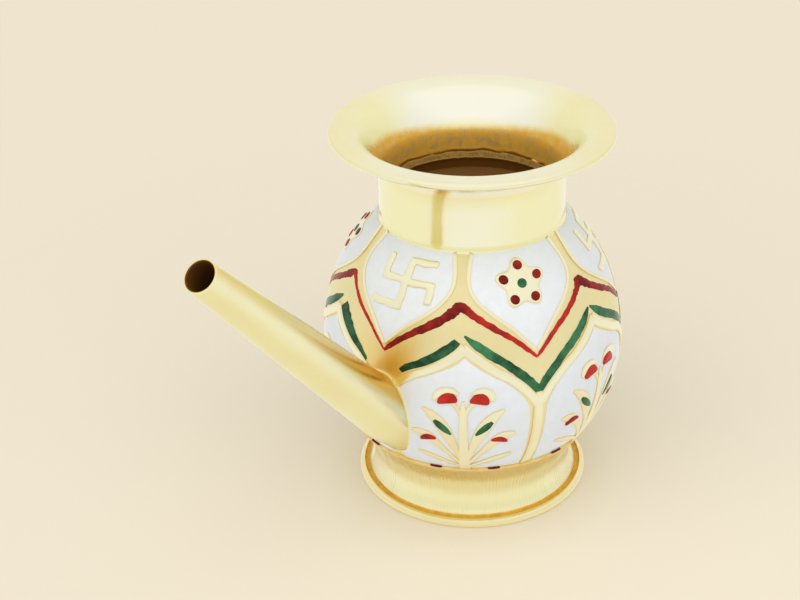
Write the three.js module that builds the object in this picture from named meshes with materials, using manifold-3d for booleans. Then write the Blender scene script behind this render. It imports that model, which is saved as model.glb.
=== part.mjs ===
// A spouted brass lota: a round bowl on a flared foot, with a trumpet-mouthed neck, a straight
// tapered spout and enamel laid into sunk fields round the bowl. Millimetres, +Z up.
// The spout runs along -X, the foot stands on Z = 0 and the origin is under the middle of the box.

import * as THREE from 'three';
import { mergeVertices } from 'three/addons/utils/BufferGeometryUtils.js';
import Module from 'manifold-3d';

const wasm = await Module();
wasm.setup();

// Fits
const GAP = 0.3; // between pieces that are soldered or fused together

// Foot, a hollow flared ring with a rolled bead
const FOOT_HEIGHT = 12;
const FOOT_WALL = 1.4;
const FOOT_SPREAD = 5; // from the waist out to the groove
const GROOVE_WIDTH = 0.8;
const GROOVE_DEPTH = 0.5;
const BEAD_WIDTH = 2.1;
const BEAD_HEIGHT = 3;
const SOLE_WIDTH = 2.6; // flat ring that the foot stands on

// Bowl, a cast shell
const BASE_RADIUS = 28.7;
const BELLY_RADIUS = 46.1;
const BELLY_HEIGHT = 38; // from the foot up to the widest ring
const SHOULDER_HEIGHT = 42; // from the widest ring up to the mouth
const SHOULDER_POWER = 2.3; // how late the shoulder turns in
const BOWL_WALL = 1.8;
const FLOOR_WALL = 2;
const SPIGOT_LENGTH = 2; // the short plug that sits in the top of the foot

// Neck and rim, one spun piece
const NECK_RADIUS = 28;
const NECK_WALL = 1.4;
const NECK_LENGTH = 9.6; // straight part above the bowl's mouth
const COLLAR_LENGTH = 3; // the part let into the bowl's mouth
const COLLAR_WALL = 1.2;
const FLARE_HEIGHT = 17.8;
const FLARE_TURN = 11; // how far up the flare the wall still runs nearly upright
const RIM_RADIUS = 42.5;
const LIP_WIDTH = 10.5; // how far in from the edge the lip stays nearly level
const LIP_SLOPE = 5; // degrees below level at the edge

// Spout, a tapered tube with a rounded heel
const SPOUT_TILT = 47.1; // degrees above level
const SPOUT_LENGTH = 116.4; // from the middle of the heel to the mouth
const SPOUT_RISE = 21.8; // middle of the heel above the foot
const HEEL_INSET = 6.9; // middle of the heel behind the bowl's face
const HEEL_RADIUS = 9.3;
const TIP_RADIUS = 4.8;
const SPOUT_WALL = 0.8;
const PORT_RADIUS = 5; // hole from the bowl into the spout

// Solder seams
const SEAM = 1.2;

// Enamel and relief
const SECTORS = 6;
const FIELD_DEPTH = 0.9; // how deep the white fields are sunk in the bowl
const ENAMEL_SINK = 0.15; // white face below the brass face
const STROKE_THICKNESS = 0.4; // coloured strokes fused on the brass
const RELIEF_THICKNESS = 0.6; // brass ornaments on the white
const SPOUT_MARGIN = 1.8; // bare brass round the root of the spout
const MARK_ARM = 7.4; // swastika, from the middle to the end of an arm
const MARK_HOOK = 6.5; // its bent ends
const MARK_WIDTH = 1.9; // width of its arms
const PETALS = 5;
const FLOWER_RADIUS = 7.6;
const FLOWER_NOTCH = 2.2; // how far the edge comes in between petals

// Facets
const ROUND = 30;
const SPOUT_SIDES = 16;
const PROFILE_STEPS = 8;
const CURVE_STEPS = 5;

// What follows from the sizes above
const BOWL_HEIGHT = BELLY_HEIGHT + SHOULDER_HEIGHT;
const BELLY_Z = FOOT_HEIGHT + BELLY_HEIGHT;
const MOUTH_Z = FOOT_HEIGHT + BOWL_HEIGHT;
const FLARE_Z = MOUTH_Z + NECK_LENGTH;
const RIM_Z = FLARE_Z + FLARE_HEIGHT;
const HALF_SECTOR = Math.PI / SECTORS;

const brass = new THREE.MeshStandardMaterial({ color: 0xe3cf7c, metalness: 1, roughness: 0.28 });
const solder = new THREE.MeshStandardMaterial({ color: 0xb98a3c, metalness: 1, roughness: 0.45 });
const white = new THREE.MeshStandardMaterial({ color: 0xeceef0, metalness: 0, roughness: 0.2 });
const red = new THREE.MeshStandardMaterial({ color: 0xa81c18, metalness: 0, roughness: 0.22 });
const green = new THREE.MeshStandardMaterial({ color: 0x2f6a42, metalness: 0, roughness: 0.22 });

// Turns a closed geometry into a solid that can be cut and joined.
function solid(geometry) {
  geometry.deleteAttribute('normal');
  geometry.deleteAttribute('uv');
  const merged = mergeVertices(geometry, 1e-4);
  return new wasm.Manifold(new wasm.Mesh({
    numProp: 3,
    vertProperties: new Float32Array(merged.attributes.position.array),
    triVerts: new Uint32Array(merged.index.array),
  }));
}

function joined(solids) {
  return solids.reduce((whole, next) => whole.add(next));
}

function meshOf(name, body, material) {
  const data = body.getMesh();
  const geometry = new THREE.BufferGeometry();
  geometry.setAttribute('position', new THREE.BufferAttribute(new Float32Array(data.vertProperties), 3));
  geometry.setIndex(new THREE.BufferAttribute(new Uint32Array(data.triVerts), 1));
  const mesh = new THREE.Mesh(geometry, material);
  mesh.name = name;
  return mesh;
}

const point = (across, up) => new THREE.Vector2(across, up);

// A solid of revolution about Z from a closed run of points, each a radius and a height.
function turned(points, sides = ROUND) {
  const geometry = new THREE.LatheGeometry([...points, points[0]], sides);
  return solid(geometry.rotateX(Math.PI / 2));
}

function disc(centre, radius, sides) {
  const curve = new THREE.EllipseCurve(centre.x, centre.y, radius, radius);
  return curve.getPoints(sides).slice(0, sides);
}

// Radius of the bowl's outer face at a height, and how fast it changes.
function bowlRadius(z) {
  if (z < BELLY_Z) {
    return BELLY_RADIUS - (BELLY_RADIUS - BASE_RADIUS) * ((BELLY_Z - z) / BELLY_HEIGHT) ** 2;
  }
  return BELLY_RADIUS - (BELLY_RADIUS - NECK_RADIUS) * ((z - BELLY_Z) / SHOULDER_HEIGHT) ** SHOULDER_POWER;
}

function bowlSlope(z) {
  const step = 1e-3;
  return (bowlRadius(z + step) - bowlRadius(z - step)) / (2 * step);
}

// The bowl's face moved out along its normal by a distance, as points from the foot to the mouth.
function bowlFace(offset) {
  const points = [];
  for (let i = 0; i <= PROFILE_STEPS; i += 1) {
    const z = FOOT_HEIGHT + (BOWL_HEIGHT * i) / PROFILE_STEPS;
    points.push(point(bowlRadius(z) + offset * Math.hypot(1, bowlSlope(z)), z));
  }
  return points;
}

// A skin that follows the bowl from one offset of its face out to another.
function bowlSkin(inner, outer) {
  return turned([...bowlFace(outer), ...bowlFace(inner).reverse()]);
}

// Everything inside the bowl's face, moved out by a distance.
function bowlCore(offset) {
  return turned([point(0, FOOT_HEIGHT), ...bowlFace(offset), point(0, MOUTH_Z)]);
}

// A point of the pattern on the flat sheet that a sector is drawn on: the share of half a sector
// to the right of its middle line, and the share of the bowl's height.
function at(across, up) {
  const z = FOOT_HEIGHT + up * BOWL_HEIGHT;
  return point(bowlRadius(z) * Math.sin(across * HALF_SECTOR), z);
}

// How much a height on the sheet is shortened by the lean of the bowl's face.
function lean(z) {
  return 1 / Math.hypot(1, bowlSlope(z));
}

const mirrored = (line) => line.map((p) => point(-p.x, p.y)).reverse();

// Moves an outline outwards by a distance, corner by corner.
function grown(outline, distance) {
  const count = outline.length;
  const side = THREE.ShapeUtils.isClockWise(outline) ? -1 : 1;
  return outline.map((corner, i) => {
    const before = corner.clone().sub(outline[(i + count - 1) % count]).normalize();
    const after = outline[(i + 1) % count].clone().sub(corner).normalize();
    const sum = point(before.y + after.y, -before.x - after.x);
    return corner.clone().addScaledVector(sum, (side * distance) / (1 + before.dot(after)));
  });
}

// The outline of a brush stroke along a line, with its half width at each point.
function stroke(line, widths) {
  const last = line.length - 1;
  const edge = (side) => line.map((p, i) => {
    const along = line[Math.min(i + 1, last)].clone().sub(line[Math.max(i - 1, 0)]).normalize();
    return p.clone().add(point(-along.y, along.x).multiplyScalar(side * widths[i]));
  });
  return [...edge(-1), ...edge(1).reverse()];
}

// The same stroke mirrored about the sector's middle line and joined to itself there.
function doubleStroke(line, widths) {
  return stroke([...mirrored(line.slice(1)), ...line], [...widths.slice(1).reverse(), ...widths]);
}

// A solid that runs out along a radius of the bowl, with an outline drawn on the flat sheet.
function punch(outline, angle) {
  const reach = BELLY_RADIUS + BOWL_WALL;
  const geometry = new THREE.ExtrudeGeometry(new THREE.Shape(outline), { depth: reach, bevelEnabled: false });
  const outward = new THREE.Vector3(Math.cos(angle), Math.sin(angle), 0);
  const sideways = new THREE.Vector3(-outward.y, outward.x, 0);
  const upward = new THREE.Vector3(0, 0, 1);
  return solid(geometry.applyMatrix4(new THREE.Matrix4().makeBasis(sideways, upward, outward)));
}

// The middle line of a sector, counted from the spout.
function sectorAngle(count) {
  return Math.PI + 2 * HALF_SECTOR * count;
}

// The white field under the neck: a shield that comes to a point over the valley of the zigzag.
function upperField() {
  const edge = [
    at(0, 0.685), at(0.25, 0.747), at(0.557, 0.796), at(0.78, 0.838), at(0.85, 0.885), at(0.85, 0.945),
    at(0.78, 0.975),
  ];
  return [...mirrored(edge.slice(1)), ...edge];
}

// The white field under the zigzag: an ogee arch with straight sides.
function lowerField() {
  const edge = [
    at(0, 0.678), at(0.12, 0.655), at(0.4, 0.618), at(0.62, 0.584), at(0.79, 0.535), at(0.9, 0.45),
    at(0.915, 0.35), at(0.9, 0.2), at(0.83, 0.15),
  ];
  return [...mirrored(edge.slice(1)), ...edge];
}

// The red stroke over one peak of the zigzag, thick at the peak and thin in the valleys.
function redStroke() {
  const line = [at(0, 0.838), at(0.2, 0.808), at(0.443, 0.766), at(0.7, 0.729), at(0.965, 0.664)];
  return doubleStroke(line, [1.35, 1.05, 0.9, 0.75, 0.45]);
}

// The green stroke in one valley, from its lowest point up to near the peaks on both sides.
const GREEN_LINE = [at(0, 0.527), at(0.2, 0.592), at(0.43, 0.642), at(0.65, 0.68), at(0.93, 0.736)];
const GREEN_WIDTHS = [1.1, 0.95, 0.9, 0.8, 0.35];

function greenStroke() {
  return doubleStroke(GREEN_LINE, GREEN_WIDTHS);
}

// Beside the spout the valley is bare, and the right half of the stroke starts higher up.
function greenShort() {
  return stroke([at(0.31, 0.61), ...GREEN_LINE.slice(2)], [0.9, ...GREEN_WIDTHS.slice(2)]);
}

// The traditional right-turning mark, as two bars with bent ends.
function markBars() {
  const centre = at(0.1, 0.875);
  const half = MARK_WIDTH / 2;
  const widths = [half, half * Math.SQRT2, half * Math.SQRT2, half];
  const place = (across, up) => point(centre.x + across, centre.y + up * lean(centre.y));
  return [
    [place(-MARK_ARM, MARK_HOOK), place(-MARK_ARM, 0), place(MARK_ARM, 0), place(MARK_ARM, -MARK_HOOK)],
    [place(-MARK_HOOK, -MARK_ARM), place(0, -MARK_ARM), place(0, MARK_ARM), place(MARK_HOOK, MARK_ARM)],
  ].map((bar) => stroke(bar, widths));
}

// The flower, a plate with an edge of round petals.
function flowerPlate() {
  const centre = at(0, 0.89);
  const count = 4 * PETALS;
  const points = [];
  for (let i = 0; i < count; i += 1) {
    const turn = (2 * Math.PI * i) / count;
    const radius = FLOWER_RADIUS - (FLOWER_NOTCH / 2) * (1 - Math.cos(PETALS * turn));
    points.push(point(centre.x + radius * Math.sin(turn), centre.y + radius * Math.cos(turn) * lean(centre.y)));
  }
  return [points];
}

// The sprig: three pairs of leaves fanning from a root, and a stem with a pair of buds on top.
function sprig() {
  const edge = [
    at(0, 0.155), at(0.06, 0.155), at(0.5, 0.21), at(0.5, 0.24), at(0.13, 0.22), at(0.53, 0.315),
    at(0.48, 0.365), at(0.1, 0.27), at(0.36, 0.43), at(0.26, 0.455), at(0.05, 0.34), at(0.04, 0.49),
    at(0.14, 0.485), at(0.31, 0.505), at(0.3, 0.545), at(0.14, 0.555), at(0, 0.52),
  ];
  return [[...mirrored(edge.slice(1, -1)), ...edge]];
}

// The spout as a solid along -X, tilted up, with its outer face moved out by a distance.
const HEEL_Z = FOOT_HEIGHT + SPOUT_RISE;
const HEEL_X = HEEL_INSET - bowlRadius(HEEL_Z);
function spoutForm(offset, extraLength = 0) {
  const heel = HEEL_RADIUS + offset;
  const tip = SPOUT_LENGTH + extraLength;
  const narrowing = ((HEEL_RADIUS - TIP_RADIUS) * tip) / SPOUT_LENGTH;
  const round = new THREE.EllipseCurve(0, 0, heel, heel, -Math.PI / 2, 0);
  const profile = [point(0, -heel), ...round.getPoints(CURVE_STEPS).slice(1)];
  const geometry = new THREE.LatheGeometry([...profile, point(heel - narrowing, tip), point(0, tip)], SPOUT_SIDES);
  geometry.rotateX(Math.PI / 2).rotateY(THREE.MathUtils.degToRad(SPOUT_TILT) - Math.PI / 2);
  return solid(geometry.translate(HEEL_X, 0, HEEL_Z));
}

function spoutTube() {
  return spoutForm(0).subtract(spoutForm(-SPOUT_WALL, SPOUT_WALL)).subtract(bowlCore(GAP));
}

// The bead of solder where the spout meets the bowl.
function spoutSeam() {
  return spoutForm(GAP + SEAM).subtract(spoutForm(GAP)).intersect(bowlSkin(GAP, GAP + SEAM));
}

// The hole from the bowl into the spout, drilled level through the wall.
function spoutPort() {
  const geometry = new THREE.CylinderGeometry(PORT_RADIUS, PORT_RADIUS, BELLY_RADIUS, SPOUT_SIDES);
  return solid(geometry.rotateZ(Math.PI / 2).translate(HEEL_X - HEEL_INSET, 0, HEEL_Z));
}

// Bowl shell, closed below by its floor and the spigot, open at the mouth.
function bowlShell() {
  const spigot = BASE_RADIUS - FOOT_WALL - GAP;
  const spigotZ = FOOT_HEIGHT - SPIGOT_LENGTH;
  const floorZ = spigotZ + FLOOR_WALL;
  const inside = bowlFace(-BOWL_WALL).filter((p) => p.y > floorZ + BOWL_WALL);
  return turned([
    point(0, spigotZ), point(spigot, spigotZ), point(spigot, FOOT_HEIGHT),
    ...bowlFace(0),
    ...inside.reverse(),
    point(spigot - BOWL_WALL, floorZ), point(0, floorZ),
  ]);
}

// Foot: the flare, the groove, the rolled bead and the flat ring that it stands on.
function foot() {
  const top = FOOT_HEIGHT - GAP;
  const groove = BASE_RADIUS + FOOT_SPREAD;
  const bead = groove + GROOVE_WIDTH;
  const rise = BEAD_HEIGHT / 2;
  const flare = (inset) => new THREE.QuadraticBezierCurve(
    point(BASE_RADIUS - inset, top),
    point(BASE_RADIUS - inset, (top + BEAD_HEIGHT - inset) / 2),
    point(groove - inset, BEAD_HEIGHT),
  ).getPoints(CURVE_STEPS);
  const roll = new THREE.EllipseCurve(bead, rise, BEAD_WIDTH, rise, -Math.PI / 2, Math.PI / 2);
  return turned([
    ...roll.getPoints(CURVE_STEPS),
    point(groove + GROOVE_WIDTH / 2, BEAD_HEIGHT - GROOVE_DEPTH),
    ...flare(0).reverse(),
    ...flare(FOOT_WALL),
    point(bead - SOLE_WIDTH, 0),
  ]);
}

// Neck and rim: a spun tube that flares to a nearly flat lip, with a collar let into the bowl.
function neck() {
  const mouth = NECK_RADIUS - BOWL_WALL * Math.hypot(1, bowlSlope(MOUTH_Z));
  const collar = mouth - GAP;
  const seat = MOUTH_Z + GAP;
  const drop = LIP_WIDTH * Math.tan(THREE.MathUtils.degToRad(LIP_SLOPE));
  const edge = RIM_RADIUS - NECK_WALL / 2;
  const flare = (inset) => new THREE.CubicBezierCurve(
    point(NECK_RADIUS - inset, FLARE_Z),
    point(NECK_RADIUS - inset, FLARE_Z + FLARE_TURN + inset),
    point(edge - LIP_WIDTH, RIM_Z - NECK_WALL + inset - drop),
    point(edge, RIM_Z - NECK_WALL + inset),
  ).getPoints(CURVE_STEPS);
  return turned([
    point(collar, seat - COLLAR_LENGTH), point(collar, seat), point(NECK_RADIUS, seat),
    ...flare(0),
    point(RIM_RADIUS, RIM_Z - NECK_WALL / 2),
    ...flare(NECK_WALL).reverse(),
    point(NECK_RADIUS - NECK_WALL, seat + COLLAR_WALL), point(collar - COLLAR_WALL, seat),
    point(collar - COLLAR_WALL, seat - COLLAR_LENGTH),
  ]);
}

// A bead of solder in the corner between the neck and the shoulder.
function neckSeam() {
  const inner = NECK_RADIUS + GAP;
  const low = MOUTH_Z + 2 * GAP;
  return turned([
    point(inner, low), point(inner + SEAM, low + SEAM / bowlSlope(MOUTH_Z)),
    point(inner + SEAM / 3, low + SEAM / 3), point(inner, low + SEAM),
  ]);
}

// A bead of solder round the waist, between the bowl and the foot.
function footSeam() {
  const radius = SEAM / 2;
  const middle = point(BASE_RADIUS + GAP + radius, FOOT_HEIGHT - GAP - radius / 2);
  return turned(disc(middle, radius, CURVE_STEPS));
}

const vessel = new THREE.Group();
const pits = [];
const spoutRoot = spoutForm(SPOUT_MARGIN);
const spoutRootPit = spoutForm(SPOUT_MARGIN - GAP);
const whiteSkin = bowlSkin(GAP - FIELD_DEPTH, -ENAMEL_SINK);
const strokeSkin = bowlSkin(GAP, GAP + STROKE_THICKNESS);
const reliefSkin = bowlSkin(GAP - ENAMEL_SINK, GAP - ENAMEL_SINK + RELIEF_THICKNESS);

// A white field: its own solid, and the pit in the bowl that it is fused into.
function addField(name, outline, angle) {
  const body = punch(outline, angle).subtract(spoutRoot).intersect(whiteSkin);
  vessel.add(meshOf(name, body, white));
  pits.push(punch(grown(outline, GAP), angle).subtract(spoutRootPit));
}

function addStroke(name, outline, angle, material) {
  vessel.add(meshOf(name, punch(outline, angle).intersect(strokeSkin), material));
}

function addRelief(name, outlines, angle) {
  const body = joined(outlines.map((outline) => punch(outline, angle)));
  vessel.add(meshOf(name, body.subtract(spoutRoot).intersect(reliefSkin), brass));
}

for (let i = 0; i < SECTORS; i += 1) {
  const number = i + 1;
  const valley = sectorAngle(i);
  const peak = sectorAngle(i + 0.5);
  addField(`upper_white_panel_${number}`, upperField(), valley);
  addField(`lower_white_panel_${number}`, lowerField(), peak);
  addStroke(`red_zigzag_${number}`, redStroke(), peak, red);
  addRelief(`brass_sprig_${number}`, sprig(), peak);
  if (i % 2 === 0) {
    addRelief(`brass_swastika_${number}`, markBars(), valley);
  } else {
    addRelief(`brass_flower_${number}`, flowerPlate(), valley);
  }
  if (i > 0) {
    addStroke(`green_stroke_${number}`, greenStroke(), valley, green);
  }
}
addStroke('green_stroke_spout_right', greenShort(), sectorAngle(0), green);
addStroke('green_stroke_spout_left', mirrored(greenShort()), sectorAngle(0), green);

const sunk = joined(pits).intersect(bowlSkin(-FIELD_DEPTH, BOWL_WALL));
vessel.add(meshOf('bowl', bowlShell().subtract(sunk).subtract(spoutPort()), brass));
vessel.add(meshOf('neck_and_rim', neck(), brass));
vessel.add(meshOf('pedestal_foot', foot(), brass));
vessel.add(meshOf('spout_tube', spoutTube(), brass));
vessel.add(meshOf('neck_solder_seam', neckSeam(), solder));
vessel.add(meshOf('foot_solder_seam', footSeam(), solder));
vessel.add(meshOf('spout_solder_seam', spoutSeam(), solder));

// The origin goes under the middle of the box, on the surface that the foot stands on.
const box = new THREE.Box3().setFromObject(vessel, true);
vessel.position.x = -(box.min.x + box.max.x) / 2;

const lota = new THREE.Group();
lota.add(vessel);

export default lota;
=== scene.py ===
"""Smooth metal, enamel and relief for a spouted brass lota.

Each piece is modelled at its own place in the part's frame, in metres. The pattern is drawn in
millimetres on a flat sheet, and each drawn piece is then laid round the bowl.
"""

import bisect
import math

import bpy
from bpy.props import FloatProperty, FloatVectorProperty, IntProperty, PointerProperty
from mathutils import Matrix, Quaternion, Vector, noise


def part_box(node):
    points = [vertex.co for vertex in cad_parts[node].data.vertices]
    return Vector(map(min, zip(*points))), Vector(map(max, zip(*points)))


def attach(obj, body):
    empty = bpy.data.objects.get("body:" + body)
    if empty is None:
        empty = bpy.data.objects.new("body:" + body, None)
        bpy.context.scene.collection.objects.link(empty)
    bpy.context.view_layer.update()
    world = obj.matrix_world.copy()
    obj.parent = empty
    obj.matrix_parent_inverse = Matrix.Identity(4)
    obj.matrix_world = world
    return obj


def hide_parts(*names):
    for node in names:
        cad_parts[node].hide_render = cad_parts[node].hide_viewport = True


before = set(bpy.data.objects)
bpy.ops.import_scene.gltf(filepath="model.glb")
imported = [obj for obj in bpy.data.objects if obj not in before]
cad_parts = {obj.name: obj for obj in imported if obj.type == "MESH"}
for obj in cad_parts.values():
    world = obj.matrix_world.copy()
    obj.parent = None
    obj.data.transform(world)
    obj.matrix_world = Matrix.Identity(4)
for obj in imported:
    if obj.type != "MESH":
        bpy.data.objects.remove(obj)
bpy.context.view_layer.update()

bl_info = {
    "name": "Spouted lota",
    "version": (1, 0, 0),
    "blender": (4, 5, 0),
    "location": "View3D > Sidebar > Lota",
    "description": "Dresses the packed lota with smooth metal, enamel and relief",
    "category": "Mesh",
}

MM = 0.001
SECTORS = 6
HALF_SECTOR = math.pi / SECTORS
AXIS = sum(corner.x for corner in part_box("pedestal_foot")) / 2

# Sizes below are in millimetres. GAP is the solder's room between two pieces, a height and a reach place a
# painted reflection of brass on brass over the spout's root, and BASE_EDGE gives the heights over which the
# bowl's rubbed base turns to yellowed brass.
GAP = 0.3
FACE_STEPS = 70
RIDGES = 180
RIDGE_HEIGHT = 0.045
RELIEF_SEAT, DROP_LIFT, BUD_LIFT = -0.1, 0.1, 0.12
REFLECTION_HEIGHT, REFLECTION_REACH = 60, 12
BASE_EDGE = (21, 26)
WAIST_WALL = ((0.9, 1.7), (0.2, 4), (0, 6.5), (0.5, 9.5), (1.6, 13))
THROAT = (
    (0, 0), (0.1, 3), (0.5, 5.5), (1.3, 7.6), (2.6, 10.4), (4.2, 13.2), (6, 15.5), (8, 17.05), (10.3, 17.8),
    (12.8, 17.95),
)

# The pattern lies on a sector: shares of half its width and of the bowl's height, then half a stroke's width.
ARCH_SWAYS = (0.08, -0.02, 0.04, -0.05, 0.03, -0.04)
BASE_RING = 0.138
SHIELD_EDGE = (
    (0, 0.686), (0.1, 0.716), (0.27, 0.763), (0.54, 0.816), (0.73, 0.855), (0.83, 0.887), (0.865, 0.92),
    (0.85, 0.957), (0.81, 0.994),
)
ARCH_EDGE = (
    (0, 0.676), (0.1, 0.650), (0.25, 0.624), (0.42, 0.600), (0.6, 0.570), (0.75, 0.528), (0.86, 0.475),
    (0.89, 0.42), (0.895, 0.34), (0.9, 0.24), (0.895, 0.15),
)
ARCH_ARM = (
    (-1.02, 0.709, 1.8), (-0.85, 0.672, 1.55), (-0.6, 0.624, 1.45), (-0.38, 0.589, 1.5), (-0.21, 0.547, 1.5),
    (-0.09, 0.504, 1.5), (0, 0.472, 1.6),
)
RIB = ((0, 0.52, 1.0), (0, 0.45, 1.6), (0, 0.38, 1.6), (0, 0.27, 1.6), (0, 0.15, 1.8))
RED_HALF = (
    (0, 0.842, 1.6), (0.1, 0.827, 1.35), (0.22, 0.806, 1.1), (0.46, 0.768, 1.0), (0.7, 0.729, 0.85),
    (0.9, 0.682, 0.7), (1.0, 0.655, 0.4),
)
GREEN_HALF = (
    (0, 0.521, 1.7), (0.1, 0.557, 1.5), (0.2, 0.592, 1.35), (0.43, 0.645, 1.35), (0.65, 0.683, 1.45),
    (0.85, 0.722, 1.3), (0.98, 0.75, 0.35),
)
SHORT_RIGHT = (
    (0.255, 0.57, 0.8), (0.3, 0.59, 1.9), (0.44, 0.625, 1.75), (0.62, 0.664, 1.55), (0.79, 0.701, 1.4),
    (0.92, 0.73, 1.1), (0.975, 0.745, 0.35),
)
SHORT_LEFT = (
    (-0.255, 0.57, 0.6), (-0.3, 0.59, 1.2), (-0.44, 0.625, 1.6), (-0.62, 0.664, 2.1), (-0.79, 0.701, 2.4),
    (-0.92, 0.73, 2.0), (-0.975, 0.745, 0.6),
)
SPRIG_STEM = ((0, 0.15, 1.9), (0, 0.22, 1.5), (0, 0.33, 1.4), (0, 0.43, 1.15), (0, 0.48, 0.8), (0, 0.51, 0.35))
SPRIG_LEAVES = (
    (
        (0, 0.17, 0.6), (0.1, 0.27, 1.0), (0.18, 0.34, 1.7), (0.27, 0.4, 2.0), (0.38, 0.442, 1.5),
        (0.5, 0.47, 0.4),
    ),
    (
        (0, 0.165, 0.6), (0.2, 0.25, 0.8), (0.36, 0.312, 1.3), (0.46, 0.34, 1.7), (0.56, 0.353, 1.3),
        (0.65, 0.357, 0.5),
    ),
    ((0, 0.16, 0.5), (0.2, 0.192, 0.8), (0.41, 0.22, 1.1), (0.56, 0.238, 0.8), (0.64, 0.245, 0.35)),
    ((0, 0.42, 0.4), (0.07, 0.48, 0.6), (0.15, 0.505, 0.7)),
)
SPRIG_BUDS = ((0.2, 0.522, 2.9, 1.75, 0.13, -0.16), (0.455, 0.335, 2.5, 1.1, 0.12, -0.2))
SPRIG_LEANS = (0.06, 0.01, -0.03, 0.02, -0.02, 0.03)

# These are in millimetres about a point of the sprig, with half widths.
SPRIG_CAP = (
    (-3.0, 1.5, 0.4), (-1.5, 2.4, 0.8), (0.6, 2.6, 1.05), (2.4, 1.8, 1.2), (3.4, 0.3, 0.95), (3.6, -0.9, 0.4)
)
SPRIG_SEED = ((-2.5, -2.5, 0.35), (-1.0, -0.95, 0.95), (0.9, 0.9, 1.05), (2.4, 2.4, 0.5))
SPRIG_DASH = ((-1.8, 0.1, 0.12), (0, 0, 0.28), (1.8, 0.15, 0.12))

# Shares of a mark's arm and hook, and of a red stroke's widths to the left and right.
MARK_ARMS = ((0.85, 1.25), (1.15, 0.85), (1.0, 1.5), (1.0, 1.05))
RED_WIDTHS = ((1.1, 0.9), (0.8, 1.0), (1.0, 0.9), (0.9, 1.0), (1.0, 0.9), (1.0, 0.5))

# Insets that round off the edge of a drawn piece, each a width and a climb in millimetres.
WHITE_INSETS = ((0.2, 0.04),)
LINE_INSETS = ((0.25, 0.12), (0.2, 0.05))
ARCH_INSETS = ((0.3, 0.14), (0.25, 0.1), (0.2, 0.05))
RIB_INSETS = ((0.4, 0.16), (0.6, 0.12))
STROKE_INSETS = ((0.16, 0.06), (0.12, 0.03))
MARK_INSETS = ((0.2, 0.12), (0.16, 0.05))
FLOWER_INSETS = ((0.3, 0.1), (0.5, 0.06))
DROP_INSETS = ((0.3, 0.14), (0.4, 0.08))
LEAF_INSETS = ((0.25, 0.1), (0.25, 0.06))
BUD_INSETS = ((0.18, 0.1), (0.2, 0.06))
DASH_INSETS = ((0.06, 0.04),)

# How thin the enamel runs along each stroke, given here: 0 is thick and 1 is thin.
WHITE_TONES = (0.75, 0.75)
RED_TONES = (
    (0.30, 0.25, 0.20, 0.05, 0.10, 0.75, 0.45, 0.80, 0.85),
    (0.85, 0.80, 0.90, 0.60, 0.15, 0.25, 0.20, 0.30, 0.30),
    (0.60, 0.45, 0.55, 0.30, 0.20, 0.55, 0.70, 0.55, 0.60),
    (0.40, 0.50, 0.35, 0.20, 0.25, 0.60, 0.50, 0.75, 0.70),
    (0.70, 0.60, 0.65, 0.35, 0.15, 0.35, 0.45, 0.40, 0.50),
    (0.35, 0.30, 0.40, 0.30, 0.35, 0.75, 0.80, 0.85, 0.80),
)
GREEN_TONES = (
    (0.85, 0.90, 0.45, 0.25, 0.40, 0.70, 0.35, 0.55, 0.85, 0.60, 0.25),
    (0.50, 0.60, 0.45, 0.30, 0.55, 0.60, 0.45, 0.35, 0.50, 0.55, 0.40),
    (0.35, 0.40, 0.60, 0.55, 0.40, 0.65, 0.50, 0.45, 0.60, 0.45, 0.35),
    (0.60, 0.50, 0.35, 0.30, 0.45, 0.60, 0.65, 0.50, 0.40, 0.35, 0.30),
    (0.45, 0.55, 0.50, 0.35, 0.30, 0.55, 0.45, 0.60, 0.55, 0.40, 0.45),
)
SHORT_TONES = (0.1, 0.15, 0.2, 0.45)
ENAMEL_GLOSS = {"white": 0.25, "red": 0.1, "green": 0.1}


def length(name, millimetres, description):
    """A size in metres, given here in millimetres."""
    return FloatProperty(
        name=name, description=description, default=millimetres * MM, min=0.0, precision=5, unit="LENGTH"
    )


def colour(name, value, description):
    """A linear colour."""
    return FloatVectorProperty(
        name=name, description=description, default=value, size=3, min=0.0, max=1.0, subtype="COLOR"
    )


def bearing(name, degrees, description):
    """An angle in radians, given here in degrees."""
    return FloatProperty(
        name=name, description=description, default=math.radians(degrees), subtype="ANGLE", unit="ROTATION"
    )


def number(name, value, description, least=0.0):
    """A plain number."""
    return FloatProperty(name=name, description=description, default=value, min=least)


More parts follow.
